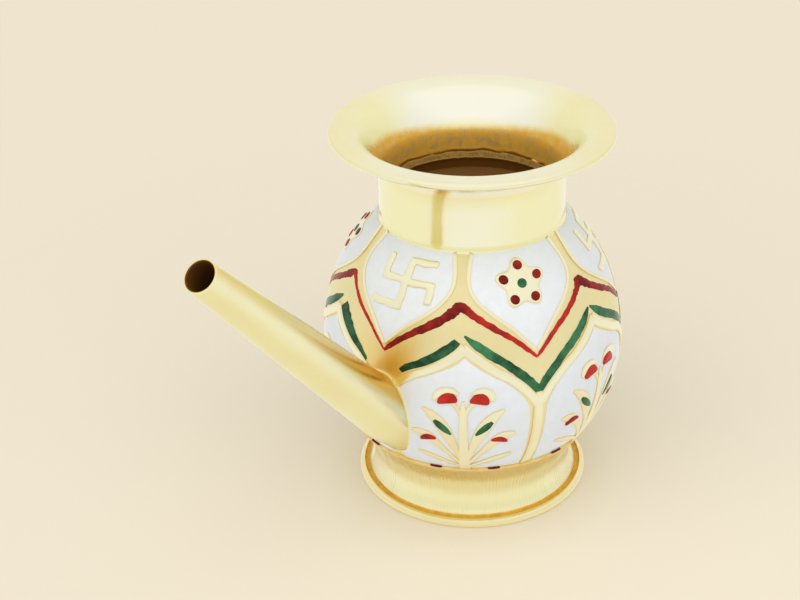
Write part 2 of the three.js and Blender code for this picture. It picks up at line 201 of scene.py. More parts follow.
class LotaBody(bpy.types.PropertyGroup):
    """Sizes of the turned pieces."""

    foot_height: length("Foot height", 12, "From the sole up to the bowl")
    foot_wall: length("Foot wall", 1.4, "Wall of the foot")
    foot_spread: length("Foot spread", 4.8, "From the waist out to the groove")
    groove_width: length("Groove width", 1.5, "Groove inside the bead")
    groove_depth: length("Groove depth", 0.55, "Groove inside the bead")
    bead_width: length("Bead width", 1.6, "Rolled edge of the foot")
    bead_height: length("Bead height", 3, "Rolled edge of the foot")
    sole_width: length("Sole width", 2.6, "Flat ring that the foot stands on")
    base_radius: length("Base radius", 28.7, "Waist between bowl and foot")
    belly_radius: length("Belly radius", 46.1, "Widest ring of the bowl")
    belly_height: length("Belly height", 38, "From the foot up to the widest ring")
    shoulder_height: length("Shoulder height", 42, "From the widest ring up to the mouth")
    shoulder_power: number("Shoulder power", 2.3, "How late the shoulder turns in", 1.0)
    waist_fillet: length("Waist fillet", 10.3, "How far up the bowl the waist is filled")
    waist_fill: length("Waist fill", 2.9, "How far the waist is filled")
    bowl_wall: length("Bowl wall", 1.8, "Wall of the bowl")
    floor_wall: length("Floor wall", 2, "Top of the bowl's floor above the foot")
    spigot_depth: length("Spigot depth", 2, "Part of the bowl let into the foot")
    neck_radius: length("Neck radius", 28, "Outside of the neck")
    neck_wall: length("Neck wall", 1.4, "Wall of the neck and rim")
    neck_length: length("Neck length", 9.6, "Straight part of the neck")
    collar_length: length("Collar length", 3, "Part of the neck let into the bowl's mouth")
    collar_wall: length("Collar wall", 1.2, "Wall of that part")
    flare_height: length("Flare height", 17.8, "From the straight neck up to the lip")
    flare_turn: length("Flare turn", 11, "How far up the flare still runs nearly upright")
    rim_radius: length("Rim radius", 42.5, "Edge of the lip")
    lip_width: length("Lip width", 10.5, "How far in the lip stays nearly level")
    lip_drop: length("Lip drop", 0.92, "How much lower the lip is there")
    lip_bead: length("Lip bead", 1.05, "Radius of the rolled edge")
    sides: IntProperty(name="Sides", description="Facets round each turned piece", default=160, min=24)


class LotaSpout(bpy.types.PropertyGroup):
    """Sizes of the spout."""

    tilt: bearing("Tilt", 47.1, "Angle above level")
    reach: length("Reach", 116.4, "From the middle of the heel to the mouth")
    rise: length("Rise", 21.8, "Middle of the heel above the foot")
    inset: length("Inset", 6.9, "Middle of the heel behind the bowl's face")
    heel_radius: length("Heel radius", 9.3, "Thick end")
    tip_radius: length("Tip radius", 4.8, "Thin end")
    wall: length("Wall", 0.8, "Wall of the tube")
    port_radius: length("Port radius", 5, "Hole from the bowl into the spout")
    fillet: length("Fillet", 2.4, "Solder run out over the spout and the bowl")
    heel_length: length("Heel length", 4, "Rounded end behind the middle of the heel")
    heel_tuck: length("Heel tuck", 1.4, "How far the heel's lower side is drawn in")


class LotaPattern(bpy.types.PropertyGroup):
    """Sizes of the enamel and the relief."""

    cell: length("Cell", 1.5, "Spacing of the cuts that let a drawn piece follow the bowl")
    seat: length("Seat", 0.35, "How deep a drawn piece sits in the bowl's face")
    white_rise: length("White rise", 0.08, "Edge of the white enamel above the brass")
    white_dome: length("White dome", 0.16, "How much the white enamel swells in the middle of a field")
    border_width: length("Border width", 1.15, "Raised line round a shield")
    ring_radius: length("Ring radius", 0.9, "Round line under the white fields")
    relief_rise: length("Relief rise", 0.3, "Edge of the raised brass above its bed")
    stroke_rise: length("Stroke rise", 0.1, "Edge of the coloured strokes above the brass")
    drop_rise: length("Drop rise", 0.25, "Edge of a coloured drop above the relief")
    mark_arm: length("Mark arm", 7.4, "Swastika, from the middle to the end of an arm")
    mark_hook: length("Mark hook", 6.3, "Its bent ends")
    mark_width: length("Mark width", 2.1, "Width of its arms")
    flower_radius: length("Flower radius", 7.8, "Edge of the petals")
    flower_notch: length("Flower notch", 2.4, "How far the edge comes in between petals")
    flower_ring: length("Flower ring", 5.4, "Ring that the red drops lie on")
    flower_drop: length("Flower drop", 1.4, "Radius of a round drop")


class LotaFinish(bpy.types.PropertyGroup):
    """Colours of the metal and the enamel."""

    brass: colour("Brass", (0.87, 0.82, 0.46), "Polished brass")
    # Pale brass stands for rubbed brass and for painted highlights.
    pale_brass: colour("Pale brass", (0.90, 0.89, 0.76), "Bright brass of rubbing and painted highlights")
    warm_brass: colour("Warm brass", (0.85, 0.735, 0.385), "Brass that has yellowed")
    # The next colour is that of a painted reflection of brass on brass round the spout's root.
    reflected_brass: colour("Reflected brass", (0.84, 0.52, 0.08), "Painted reflection of brass on brass")
    ochre: colour("Ochre", (0.80, 0.45, 0.05), "Brass with a first film of oxide")
    tarnish: colour("Tarnish", (0.13, 0.052, 0.007), "Brass in corners and inside")
    white: colour("White", (0.82, 0.855, 0.865), "White enamel")
    white_deep: colour("Deep white", (0.78, 0.79, 0.80), "Thick white enamel")
    red: colour("Red", (0.58, 0.030, 0.020), "Bright red enamel")
    red_deep: colour("Deep red", (0.15, 0.009, 0.007), "Thick red enamel")
    green: colour("Green", (0.06, 0.24, 0.10), "Bright green enamel")
    green_deep: colour("Deep green", (0.012, 0.045, 0.018), "Thick green enamel")
    # Painted highlights and painted shade are laid out about this side.
    highlight_side: bearing("Highlight side", -55, "Turn round the pot to the side that painted highlights face")


class LotaStage(bpy.types.PropertyGroup):
    """Camera, floor and light."""

    lens: number("Lens", 72.0, "Focal length in millimetres", 1.0)
    distance: length("Distance", 498.5, "From the camera to the vessel's axis")
    aim: length("Aim", 60.8, "Height of the point looked at")
    azimuth: bearing("Azimuth", -55, "Turn round the pot")
    elevation: bearing("Elevation", 28.75, "Angle above level")
    yaw: bearing("Yaw", 2.573, "Turn of the camera to the left")
    backdrop: colour("Backdrop", (0.863, 0.775, 0.617), "Pale ground behind the pot")
    soft_box: number("Soft box", 0.06, "How much brighter metal shows the lamp")
    far_ground: colour("Far ground", (0.95, 0.93, 0.82), "What metal shows of the ground behind the pot")
    near_ground: colour("Near ground", (0.95, 0.88, 0.74), "What metal shows of the ground straight below")
    floor: colour("Floor", (0.865, 0.782, 0.628), "Paper that the pot stands on")
    lamp_width: length("Lamp width", 3700, "Soft lamp over the camera")
    lamp_height: length("Lamp height", 2200, "Soft lamp over the camera")
    lamp_distance: length("Lamp distance", 1500, "From the pot to the lamp")
    lamp_power: FloatProperty(name="Lamp power", description="In watts", default=28.0, min=0.0, unit="POWER")
    lamp_elevation: bearing("Lamp elevation", 58, "Angle above level")
    room_level: number("Room level", 0.58, "Light from all round")
    room_low: number("Wall", 0.93, "What metal shows of the room at eye level")
    room_high: number("Ceiling", 1.0, "What metal shows of the room above")
    room_floor: number("Ground", 1.03, "What metal shows of the room below")


def deselect():
    """Leaves nothing selected."""
    bpy.ops.object.select_all(action="DESELECT")


def pick(piece):
    """Selects one object and makes it the active one."""
    deselect()
    piece.select_set(True)
    bpy.context.view_layer.objects.active = piece


def remove(piece):
    """Deletes a helper object."""
    pick(piece)
    bpy.ops.object.delete()


def cut_away(piece, tool):
    """Takes a helper's shape out of a piece, and deletes the helper."""
    pick(piece)
    bpy.ops.object.modifier_add(type="BOOLEAN")
    modifier = piece.modifiers[-1]
    modifier.object = tool
    modifier.operation = "DIFFERENCE"
    modifier.solver = "EXACT"
    bpy.ops.object.modifier_apply(modifier=modifier.name)
    remove(tool)


def smooth(piece, degrees):
    """Shades a piece smooth, but for edges sharper than an angle."""
    pick(piece)
    bpy.ops.object.shade_smooth_by_angle(angle=math.radians(degrees))


def paint(piece, name, values):
    """Stores one number for each vertex."""
    data = piece.data.attributes.new(name, "FLOAT", "POINT")
    data.data.foreach_set("value", values)


def settle(piece, name, material, slot, *nodes):
    """Names a finished piece, gives it its material and ties it to the part."""
    piece.name = name
    piece.data.name = name
    piece.data.materials.clear()
    piece.data.materials.append(material)
    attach(piece, "root")
    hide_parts(*nodes)
    return piece


def places(*pairs):
    """Points of a profile."""
    return [Vector(pair) for pair in pairs]


def quadratic(a, b, c, steps):
    """Points on a quadratic curve, both ends included."""
    shares = [i / steps for i in range(steps + 1)]
    return [a * (1 - t) ** 2 + b * 2 * t * (1 - t) + c * t * t for t in shares]


def cubic(a, b, c, d, steps):
    """Points on a cubic curve, both ends included."""
    shares = [i / steps for i in range(steps + 1)]
    return [a * (1 - t) ** 3 + b * 3 * t * (1 - t) ** 2 + c * 3 * t * t * (1 - t) + d * t**3 for t in shares]


def arc(centre, wide, high, start, end, steps):
    """Points on an ellipse from one angle in degrees to another."""
    turns = [math.radians(start + (end - start) * i / steps) for i in range(steps + 1)]
    return [centre + Vector((wide * math.cos(t), high * math.sin(t))) for t in turns]


def through(points, steps):
    """A smooth run through points, with a number of steps to each span."""
    ends = [points[0] * 2 - points[1], *points, points[-1] * 2 - points[-2]]
    run = []
    for a, b, c, d in zip(ends, ends[1:], ends[2:], ends[3:]):
        for i in range(steps):
            t = i / steps
            bend = (a * 2 - b * 5 + c * 4 - d) * t * t + (b * 3 - a - c * 3 + d) * t**3
            run.append((b * 2 + (c - a) * t + bend) * 0.5)
    return [*run, points[-1]]


def turned(profile, sides, axis=AXIS):
    """A piece turned on an upright axis from points of a radius and a height in millimetres."""
    deselect()
    bpy.ops.mesh.primitive_plane_add(size=MM, location=(0, 0, 0))
    piece = bpy.context.object
    bpy.ops.object.mode_set(mode="EDIT")
    bpy.ops.mesh.select_all(action="SELECT")
    bpy.ops.mesh.merge(type="CENTER")
    bpy.ops.transform.translate(value=(axis + profile[0].x * MM, 0, profile[0].y * MM))
    for before, after in zip(profile, profile[1:]):
        step = (after - before) * MM
        bpy.ops.mesh.extrude_vertices_move(TRANSFORM_OT_translate={"value": (step.x, 0, step.y)})
    bpy.ops.mesh.select_all(action="SELECT")
    bpy.ops.mesh.spin(steps=sides, angle=2 * math.pi, center=(axis, 0, 0), axis=(0, 0, 1))
    bpy.ops.mesh.select_all(action="SELECT")
    bpy.ops.mesh.remove_doubles(threshold=1e-6)
    bpy.ops.mesh.normals_make_consistent(inside=False)
    bpy.ops.object.mode_set(mode="OBJECT")
    return piece


def stain(piece, name, amount):
    """Paints a number by place, from the axis and in millimetres."""
    foot = Vector((AXIS, 0, 0))
    paint(piece, name, [amount((vertex.co - foot) / MM) for vertex in piece.data.vertices])


def ramp(value, low, high):
    """How far a value is from one limit to another, from 0 to 1."""
    return max(0.0, min(1.0, (value - low) / (high - low)))


def heading(azimuth, elevation):
    """A direction from two angles."""
    level = math.cos(elevation)
    return Vector((math.sin(azimuth) * level, -math.cos(azimuth) * level, math.sin(elevation)))


def highlight_front():
    """The level direction of the side that painted highlights face."""
    return heading(bpy.context.scene.lota_finish.highlight_side, 0).xy


def aside(place, front):
    """How far a place is turned from the side that painted highlights face and its opposite, from 0 to 1."""
    return place.xy.normalized().cross(front) ** 2


class Bowl:
    """The bowl's outer face and the flat sheet that its pattern is drawn on, in millimetres."""

    STEP = 0.25

    def __init__(self):
        body = bpy.context.scene.lota_body
        self.base = body.base_radius / MM
        self.belly = body.belly_radius / MM
        self.neck = body.neck_radius / MM
        self.foot = body.foot_height / MM
        self.lower = body.belly_height / MM
        self.upper = body.shoulder_height / MM
        self.power = body.shoulder_power
        self.wall = body.bowl_wall / MM
        self.mouth = self.foot + self.lower + self.upper
        count = round((self.mouth - self.foot) / self.STEP) + 1
        self.heights = [self.foot + i * self.STEP for i in range(count)]
        self.runs = [0.0]
        for z in self.heights[1:]:
            self.runs.append(self.runs[-1] + self.STEP * math.hypot(1, self.slope(z - self.STEP / 2)))

    def radius(self, z):
        """Radius of the outer face at a height."""
        middle = self.foot + self.lower
        if z < middle:
            return self.belly - (self.belly - self.base) * ((middle - z) / self.lower) ** 2
        return self.belly - (self.belly - self.neck) * ((z - middle) / self.upper) ** self.power

    def slope(self, z):
        """How fast the radius grows with height."""
        return (self.radius(z + 0.01) - self.radius(z - 0.01)) / 0.02

    def face(self, offset):
        """Points up the face, moved out by an offset."""
        heights = [self.foot + (self.mouth - self.foot) * i / FACE_STEPS for i in range(FACE_STEPS + 1)]
        return [Vector((self.radius(z) + offset * math.hypot(1, self.slope(z)), z)) for z in heights]

    def run(self, z):
        """Length of the face from the foot up to a height."""
        i = min(int((z - self.foot) / self.STEP), len(self.runs) - 2)
        share = (z - self.heights[i]) / self.STEP
        return self.runs[i] + share * (self.runs[i + 1] - self.runs[i])

    def height(self, run):
        """Height at a length along the face."""
        i = min(max(bisect.bisect(self.runs, run) - 1, 0), len(self.runs) - 2)
        share = (run - self.runs[i]) / (self.runs[i + 1] - self.runs[i])
        return self.heights[i] + share * self.STEP

    def at(self, across, up):
        """A point on the sheet: a share of half a sector to the right, and of the bowl's height."""
        z = self.foot + up * (self.mouth - self.foot)
        return Vector((self.radius(z) * across * HALF_SECTOR, self.run(z)))

    def sketched(self, points):
        """Points of a stroke on the sheet, each with its half width."""
        return [Vector((*self.at(across, up), width)) for across, up, width in points]

    def sway(self, turn, z):
        """How far the tip of an arch leans to one side, as a hand has set it."""
        up = (z - self.foot) / (self.mouth - self.foot)
        place = (turn - math.pi) / (2 * HALF_SECTOR) - 0.5
        arch_number = round(place)
        share = math.cos(math.pi * (place - arch_number)) ** 2
        share *= ramp(up, 0.5, 0.64) * (1 - ramp(up, 0.68, 0.86))
        return share * ARCH_SWAYS[arch_number % SECTORS] * HALF_SECTOR

    def lay(self, point, lift, angle):
        """A point of the sheet on the bowl, in metres."""
        z = self.height(point.y)
        radius = self.radius(z)
        slope = self.slope(z)
        out = (point.z + lift) / math.hypot(1, slope)
        turn = angle + point.x / radius
        turn += self.sway(turn, z)
        far = (radius + out) * MM
        return Vector((AXIS + far * math.cos(turn), far * math.sin(turn), (z - out * slope) * MM))


def sector_angle(count):
    """Direction of a sector's middle line, counted from the spout."""
    return math.pi + 2 * HALF_SECTOR * count


def mirrored(line):
    """A line on the other side of the sector's middle, run the other way."""
    return [Vector((-p.x, *p[1:])) for p in reversed(line)]


def both_sides(half):
    """A closed outline from its right half, which starts on the middle line."""
    return [*half, *mirrored(half[1:])]


def flipped(points):
    """Points of a stroke on the other side of the sector's middle, run the other way."""
    return [(-across, up, width) for across, up, width in reversed(points)]


def divided(outline, spacing):
    """An outline with points added along its sides."""
    points = []
    for a, b in zip(outline, outline[1:] + outline[:1]):
        count = max(round((b - a).length / spacing), 1)
        points += [a.lerp(b, i / count) for i in range(count)]
    return points


def rounded(outline, times):
    """An outline with its corners cut off again and again."""
    for _ in range(times):
        pairs = list(zip(outline, outline[1:] + outline[:1]))
        outline = [p for a, b in pairs for p in (a.lerp(b, 0.25), a.lerp(b, 0.75))]
    return outline


def shaken(outline, amount):
    """An outline as a hand would cut it, the same in every run."""
    spots = [p * 0.3 for p in outline]
    shifts = [Vector((noise.noise((q.x, q.y, 2.3)), noise.noise((q.x, q.y, 7.7)))) for q in spots]
    return [p + shift * amount for p, shift in zip(outline, shifts)]


def brush(points, steps=6, wobble=0.0, seed=0.0, turns=False):
    """The outline of a stroke through points that each hold a place and a half width.

    One that turns sharply has the points taken out that would cross its own edge.
    """
    run = through(points, steps)
    last = len(run) - 1
    edges = []
    for way, layer in ((-1, 7.5), (1, 0.5)):
        edge = []
        for i, p in enumerate(run):
            along = (run[min(i + 1, last)] - run[max(i - 1, 0)]).xy.normalized()
            side = Vector((-along.y, along.x)) * p.z * way
            bare = p.xy + side
            if not turns or all((bare - q.xy).length > 0.97 * q.z for q in run):
                edge.append(p.xy + side * (1 + wobble * noise.noise((i * 0.4, seed, layer))))
        edges.append(edge)
    return edges[0] + edges[1][::-1]


def bean(place, wide, high, bend, lean):
    """The outline of a bean: an ellipse whose ends hang down, turned by an angle."""
    points = []
    for p in arc(Vector((0, 0)), wide, high, 0, 345, 23):
        p.y -= bend * p.x * p.x
        points.append(place + Matrix.Rotation(lean, 2) @ p)
    return points


def nearness(place, outline):
    """Distance of a point from an outline."""
    least = math.inf
    for a, b in zip(outline, outline[1:] + outline[:1]):
        side = b - a
        share = ramp((place - a).dot(side), 0.0, side.length_squared)
        least = min(least, (a + side * share - place).length)
    return least


def drawn(outline, rise, rounding, dome=0.0):
    """A flat piece with an outline on the sheet, raised and rounded off by insets that climb.

    A dome lifts its middle, and cuts a cell apart let it follow the bowl.
    """
    cell = bpy.context.scene.lota_pattern.cell / MM
    if sum(a.x * b.y - b.x * a.y for a, b in zip(outline, outline[1:] + outline[:1])) < 0:
        outline = outline[::-1]
    deselect()
    bpy.ops.mesh.primitive_circle_add(vertices=len(outline), radius=1, fill_type="NGON")
    piece = bpy.context.object
    for vertex, place in zip(piece.data.vertices, outline):
        vertex.co = (place.x, place.y, 0)
    bpy.ops.object.mode_set(mode="EDIT")
    bpy.ops.mesh.select_all(action="SELECT")
    bpy.ops.mesh.extrude_region_move(TRANSFORM_OT_translate={"value": (0, 0, rise)})
    for width, climb in rounding:
        bpy.ops.mesh.inset(thickness=width, depth=climb, use_even_offset=True)
    for side in (0, 1):
        low = min(place[side] for place in outline)
        high = max(place[side] for place in outline)
        normal = (1 - side, side, 0)
        for i in range(1, int((high - low) / cell) + 1):
            cut = low + (i - 0.37) * cell
            bpy.ops.mesh.select_all(action="SELECT")
            bpy.ops.mesh.bisect(plane_co=Vector(normal) * cut, plane_no=normal, threshold=1e-4)
    bpy.ops.object.mode_set(mode="OBJECT")
    for vertex in piece.data.vertices:
        if dome and vertex.co.z > 0.9 * rise:
            far = nearness(vertex.co.xy, outline)
            vertex.co.z += dome * (1 - math.exp(-0.7 * far))
    return piece


def joined(pieces):
    """Several drawn pieces as one object."""
    pick(pieces[0])
    for piece in pieces:
        piece.select_set(True)
    bpy.ops.object.join()
    return bpy.context.object


def laid(flat, bowl, angle, lift, tones=None):
    """A copy of a drawn piece on the bowl. It is darkened towards its foot, and tones run along it."""
    pick(flat)
    bpy.ops.object.duplicate()
    piece = bpy.context.object
    spots = [vertex.co.copy() for vertex in piece.data.vertices]
    top = max(p.z for p in spots)
    low = min(p.x for p in spots)
    wide = max(p.x for p in spots) - low
    paint(piece, "patina", [0.24 * (1 - ramp(p.z, 0.6 * top, top)) for p in spots])
    if tones:
        paint(piece, "tone", [blended(tones, (p.x - low) / wide) for p in spots])
    for vertex, spot in zip(piece.data.vertices, spots):
        vertex.co = bowl.lay(spot, lift, angle)
    smooth(piece, 55)
    return piece


def blended(values, share):
    """The value a share of the way along evenly spaced ones."""
    place = share * (len(values) - 1)
    i = min(int(place), len(values) - 2)
    return values[i] + (place - i) * (values[i + 1] - values[i])


def link(tree, start, end):
    """Joins two sockets."""
    tree.links.new(start, end)


def made(tree, kind, **values):
    """A node with settings, or with values for the inputs of that name."""
    node = tree.nodes.new(kind)
    for key, value in values.items():
        label = key.replace("_", " ").title()
        if label in node.inputs:
            node.inputs[label].default_value = value
        else:
            setattr(node, key, value)
    return node


def group(name, inputs, outputs):
    """An empty node group with its sockets, its input node and its output node."""
    tree = bpy.data.node_groups.new(name, "ShaderNodeTree")
    for label, kind in inputs:
        tree.interface.new_socket(label, in_out="INPUT", socket_type=kind)
    for label, kind in outputs:
        tree.interface.new_socket(label, in_out="OUTPUT", socket_type=kind)
    return tree, tree.nodes.new("NodeGroupInput"), tree.nodes.new("NodeGroupOutput")


def mixed(tree, share, first, second):
    """A colour between two, each a socket or a fixed colour."""
    node = made(tree, "ShaderNodeMix", data_type="RGBA", clamp_factor=True)
    for socket, value in ((node.inputs[0], share), (node.inputs[6], first), (node.inputs[7], second)):
        if isinstance(value, bpy.types.NodeSocket):
            link(tree, value, socket)
        elif isinstance(value, float):
            socket.default_value = value
        else:
            socket.default_value = (*value, 1.0)
    return node.outputs[2]


def sums(tree, operation, first, second):
    """A number from two, each a socket or a fixed number."""
    node = made(tree, "ShaderNodeMath", operation=operation)
    for socket, value in zip(node.inputs, (first, second)):
        if isinstance(value, bpy.types.NodeSocket):
            link(tree, value, socket)
        else:
            socket.default_value = value
    return node.outputs[0]


def plus(tree, first, second):
    """Two numbers added."""
    return sums(tree, "ADD", first, second)


def times(tree, first, second):
    """Two numbers multiplied."""
    return sums(tree, "MULTIPLY", first, second)


def toward(tree, way, direction):
    """How far a way runs along a fixed direction, from -1 to 1."""
    node = made(tree, "ShaderNodeVectorMath", operation="DOT_PRODUCT")
    link(tree, way, node.inputs[0])
    node.inputs[1].default_value = direction
    return node.outputs["Value"]


def spread(tree, value, low, high, first=0.0, last=1.0):
    """A number moved from one range to another and held there."""
    node = made(tree, "ShaderNodeMapRange", clamp=True)
    link(tree, value, node.inputs["Value"])
    for label, number in (("From Min", low), ("From Max", high), ("To Min", first), ("To Max", last)):
        node.inputs[label].default_value = number
    return node.outputs["Result"]


def clouds(tree, vector, scale, detail):
    """Soft noise at a scale, in features to the metre."""
    node = made(tree, "ShaderNodeTexNoise", scale=scale, detail=detail, roughness=0.55)
    link(tree, vector, node.inputs["Vector"])
    return node.outputs["Fac"]


def worn_brass_group():
    """Polished brass that has been handled: yellowed clouds, tarnish in corners and turning marks, and from
    its inputs painted highlights and a painted reflection of brass on brass.
    """
    finish = bpy.context.scene.lota_finish
    effects = ("Patina", "Marks", "Dullness", "Painted_reflection", "Warmth", "Rubbing_and_highlight")
    tree, given, taken = group(
        "worn_brass",
        [(label, "NodeSocketFloat") for label in effects],
        [
            ("Color", "NodeSocketColor"),
            *[(label, "NodeSocketFloat") for label in ("Metallic", "Roughness", "Coat", "Height")],
        ],
    )
    place = made(tree, "ShaderNodeTexCoord").outputs["Object"]
    broad = clouds(tree, place, 45.0, 3.0)
    blotches = clouds(tree, place, 420.0, 4.0)
    grain = clouds(tree, place, 2600.0, 2.0)

    # Turning marks run up the metal: noise that changes round the axis and hardly with height.
    centred = made(tree, "ShaderNodeVectorMath", operation="SUBTRACT")
    link(tree, place, centred.inputs[0])
    centred.inputs[1].default_value = (AXIS, 0, 0)
    parts = made(tree, "ShaderNodeSeparateXYZ")
    link(tree, centred.outputs[0], parts.inputs[0])
    level = made(tree, "ShaderNodeCombineXYZ")
    for label in ("X", "Y"):
        link(tree, parts.outputs[label], level.inputs[label])
    ring = made(tree, "ShaderNodeVectorMath", operation="NORMALIZE")
    link(tree, level.outputs[0], ring.inputs[0])
    upright = made(tree, "ShaderNodeCombineXYZ")
    link(tree, times(tree, parts.outputs["Z"], 5.0), upright.inputs["Z"])
    around = made(tree, "ShaderNodeVectorMath", operation="ADD")
    link(tree, ring.outputs[0], around.inputs[0])
    link(tree, upright.outputs[0], around.inputs[1])
    streaks = spread(tree, clouds(tree, around.outputs[0], 26.0, 3.0), 0.35, 0.65)
    marks = times(tree, streaks, given.outputs["Marks"])

    warmth = plus(tree, given.outputs["Warmth"], spread(tree, broad, 0.42, 0.72, 0.0, 0.3))
    warmth = plus(tree, warmth, spread(tree, blotches, 0.35, 0.65, -0.08, 0.08))
    metal = mixed(tree, warmth, finish.brass, finish.warm_brass)
    metal = mixed(tree, times(tree, marks, 0.3), metal, finish.warm_brass)
    # Brass paled where it is rubbed and where painted highlights are stored.
    metal = mixed(tree, given.outputs["Rubbing_and_highlight"], metal, finish.pale_brass)
    # Painted reflection of brass on brass, in orange.
    metal = mixed(tree, given.outputs["Painted_reflection"], metal, finish.reflected_brass)
    stained = times(tree, given.outputs["Patina"], spread(tree, blotches, 0.32, 0.64, 0.8, 1.15))
    metal = mixed(tree, spread(tree, stained, 0.0, 0.45), metal, finish.ochre)
    metal = mixed(tree, spread(tree, stained, 0.45, 1.0), metal, finish.tarnish)
    link(tree, metal, taken.inputs["Color"])

    film = spread(tree, stained, 0.12, 0.5)
    link(tree, spread(tree, film, 0.0, 1.0, 1.0, 0.15), taken.inputs["Metallic"])
    shine = plus(tree, spread(tree, broad, 0.3, 0.7, 0.17, 0.26), times(tree, film, 0.3))
    link(tree, plus(tree, shine, given.outputs["Dullness"]), taken.inputs["Roughness"])
    bare = sums(tree, "MAXIMUM", film, given.outputs["Painted_reflection"])
    link(tree, spread(tree, bare, 0.0, 0.7, 0.3, 0.0), taken.inputs["Coat"])
    relief = plus(tree, times(tree, grain, 0.05), times(tree, broad, 0.15))
    pits = times(tree, blotches, times(tree, film, 0.6))
    relief = plus(tree, relief, pits)
    link(tree, plus(tree, relief, marks), taken.inputs["Height"])
    return tree


def glaze_group():
    """Fired enamel: thick and thin places, small waves and a hard gloss."""
    tree, given, taken = group(
        "glaze",
        [("Thin", "NodeSocketColor"), ("Thick", "NodeSocketColor"), ("Tone", "NodeSocketFloat")],
        [("Color", "NodeSocketColor"), ("Roughness", "NodeSocketFloat"), ("Height", "NodeSocketFloat")],
    )
    place = made(tree, "ShaderNodeTexCoord").outputs["Object"]
    pools = clouds(tree, place, 300.0, 3.0)
    waves = clouds(tree, place, 160.0, 2.0)
    specks = clouds(tree, place, 1500.0, 2.0)
    share = plus(tree, given.outputs["Tone"], spread(tree, pools, 0.3, 0.7, -0.3, 0.3))
    share = plus(tree, share, spread(tree, specks, 0.3, 0.7, -0.1, 0.1))
    held = spread(tree, share, 0.0, 1.0)
    link(tree, mixed(tree, held, given.outputs["Thick"], given.outputs["Thin"]), taken.inputs["Color"])
    link(tree, spread(tree, pools, 0.3, 0.7, 0.16, 0.26), taken.inputs["Roughness"])
    link(tree, plus(tree, waves, times(tree, specks, 0.06)), taken.inputs["Height"])
    return tree


def shared_group(name, maker):
    """A node group, made the first time it is needed."""
    return bpy.data.node_groups.get(name) or maker()


def surface(name, tree_group, bump, gloss):
    """A material whose colour, roughness and small relief come from a group."""
    material = bpy.data.materials.new(name)
    material.use_nodes = True
    tree = material.node_tree
    shader = tree.nodes["Principled BSDF"]
    shader.inputs["Specular IOR Level"].default_value = gloss
    shader.inputs["Coat Roughness"].default_value = 0.25
    effect = made(tree, "ShaderNodeGroup", node_tree=tree_group)
    relief = made(tree, "ShaderNodeBump", strength=bump, distance=0.2 * MM)
    link(tree, effect.outputs["Color"], shader.inputs["Base Color"])
    for output, end in (("Metallic", "Metallic"), ("Roughness", "Roughness"), ("Coat", "Coat Weight")):
        if output in effect.outputs:
            link(tree, effect.outputs[output], shader.inputs[end])
    link(tree, effect.outputs["Height"], relief.inputs["Height"])
    link(tree, relief.outputs["Normal"], shader.inputs["Normal"])
    return material, tree, effect


def painted(tree, name):
    """A number stored on the vertices."""
    return made(tree, "ShaderNodeAttribute", attribute_name=name).outputs["Fac"]


def brass(name, marks=0.0, dullness=0.0, warmth=0.0, rubbing_and_highlight=0.0):
    """Brass with turning marks, dull, yellowed or paled, where the paling stands for rubbing and for painted
    highlights.
    """
    if name in bpy.data.materials:
        return bpy.data.materials[name]
    material, tree, effect = surface(name, shared_group("worn_brass", worn_brass_group), 0.25, 0.2)
    for label in ("Patina", "Painted_reflection"):
        link(tree, painted(tree, label.lower()), effect.inputs[label])
    effect.inputs["Marks"].default_value = marks
    effect.inputs["Dullness"].default_value = dullness
    # Rubbing and painted highlights stored on the vertices add to a fixed amount.
    for label, amount in (("Warmth", warmth), ("Rubbing_and_highlight", rubbing_and_highlight)):
        link(tree, plus(tree, painted(tree, label.lower()), amount), effect.inputs[label])
    return material


def plain_brass():
    """Brass of the spout and the solder."""
    return brass("lota_brass", dullness=0.1)


def footed_brass():
    """Brass of the foot, dull and full of turning marks."""
    return brass("lota_brass_foot", 0.4, dullness=0.06, warmth=0.05)


def raised_brass():
    """Brass of the raised lines, rubbed by hands."""
    return brass("lota_brass_raised", dullness=0.1, rubbing_and_highlight=0.42)


def enamel(tint):
    """White, red or green enamel, from its thin colour to its thick one."""
    name = f"lota_{tint}"
    if name in bpy.data.materials:
        return bpy.data.materials[name]
    finish = bpy.context.scene.lota_finish
    material, tree, effect = surface(name, shared_group("glaze", glaze_group), 0.15, ENAMEL_GLOSS[tint])
    link(tree, painted(tree, "tone"), effect.inputs["Tone"])
    effect.inputs["Thin"].default_value = (*getattr(finish, tint), 1.0)
    effect.inputs["Thick"].default_value = (*getattr(finish, f"{tint}_deep"), 1.0)
    return material


def enamelled(flat, spot, tones, tint, name, *nodes):
    """Lays enamel on a spot: the bowl, an angle round it and a lift off its face."""
    settle(laid(flat, *spot, tones), name, enamel(tint), f"{tint}_enamel", *nodes)


def raised(flat, spot, name, *nodes):
    """Lays raised brass on a spot."""
    settle(laid(flat, *spot), name, raised_brass(), "brass", *nodes)


class FootFlare:
    """The foot's outer face between the waist and the groove, in millimetres."""

    def __init__(self):
        body = bpy.context.scene.lota_body
        self.waist = body.base_radius / MM
        self.top = body.foot_height / MM - GAP
        self.low = body.bead_height / MM
        self.groove = self.waist + body.foot_spread / MM

    def point(self, share, inset):
        """A point a share of the way down."""
        start = Vector((self.waist - inset, self.top))
        turn = Vector((self.waist - inset, (self.top + self.low - inset) / 2))
        end = Vector((self.groove - inset, self.low))
        return start * (1 - share) ** 2 + turn * 2 * share * (1 - share) + end * share**2


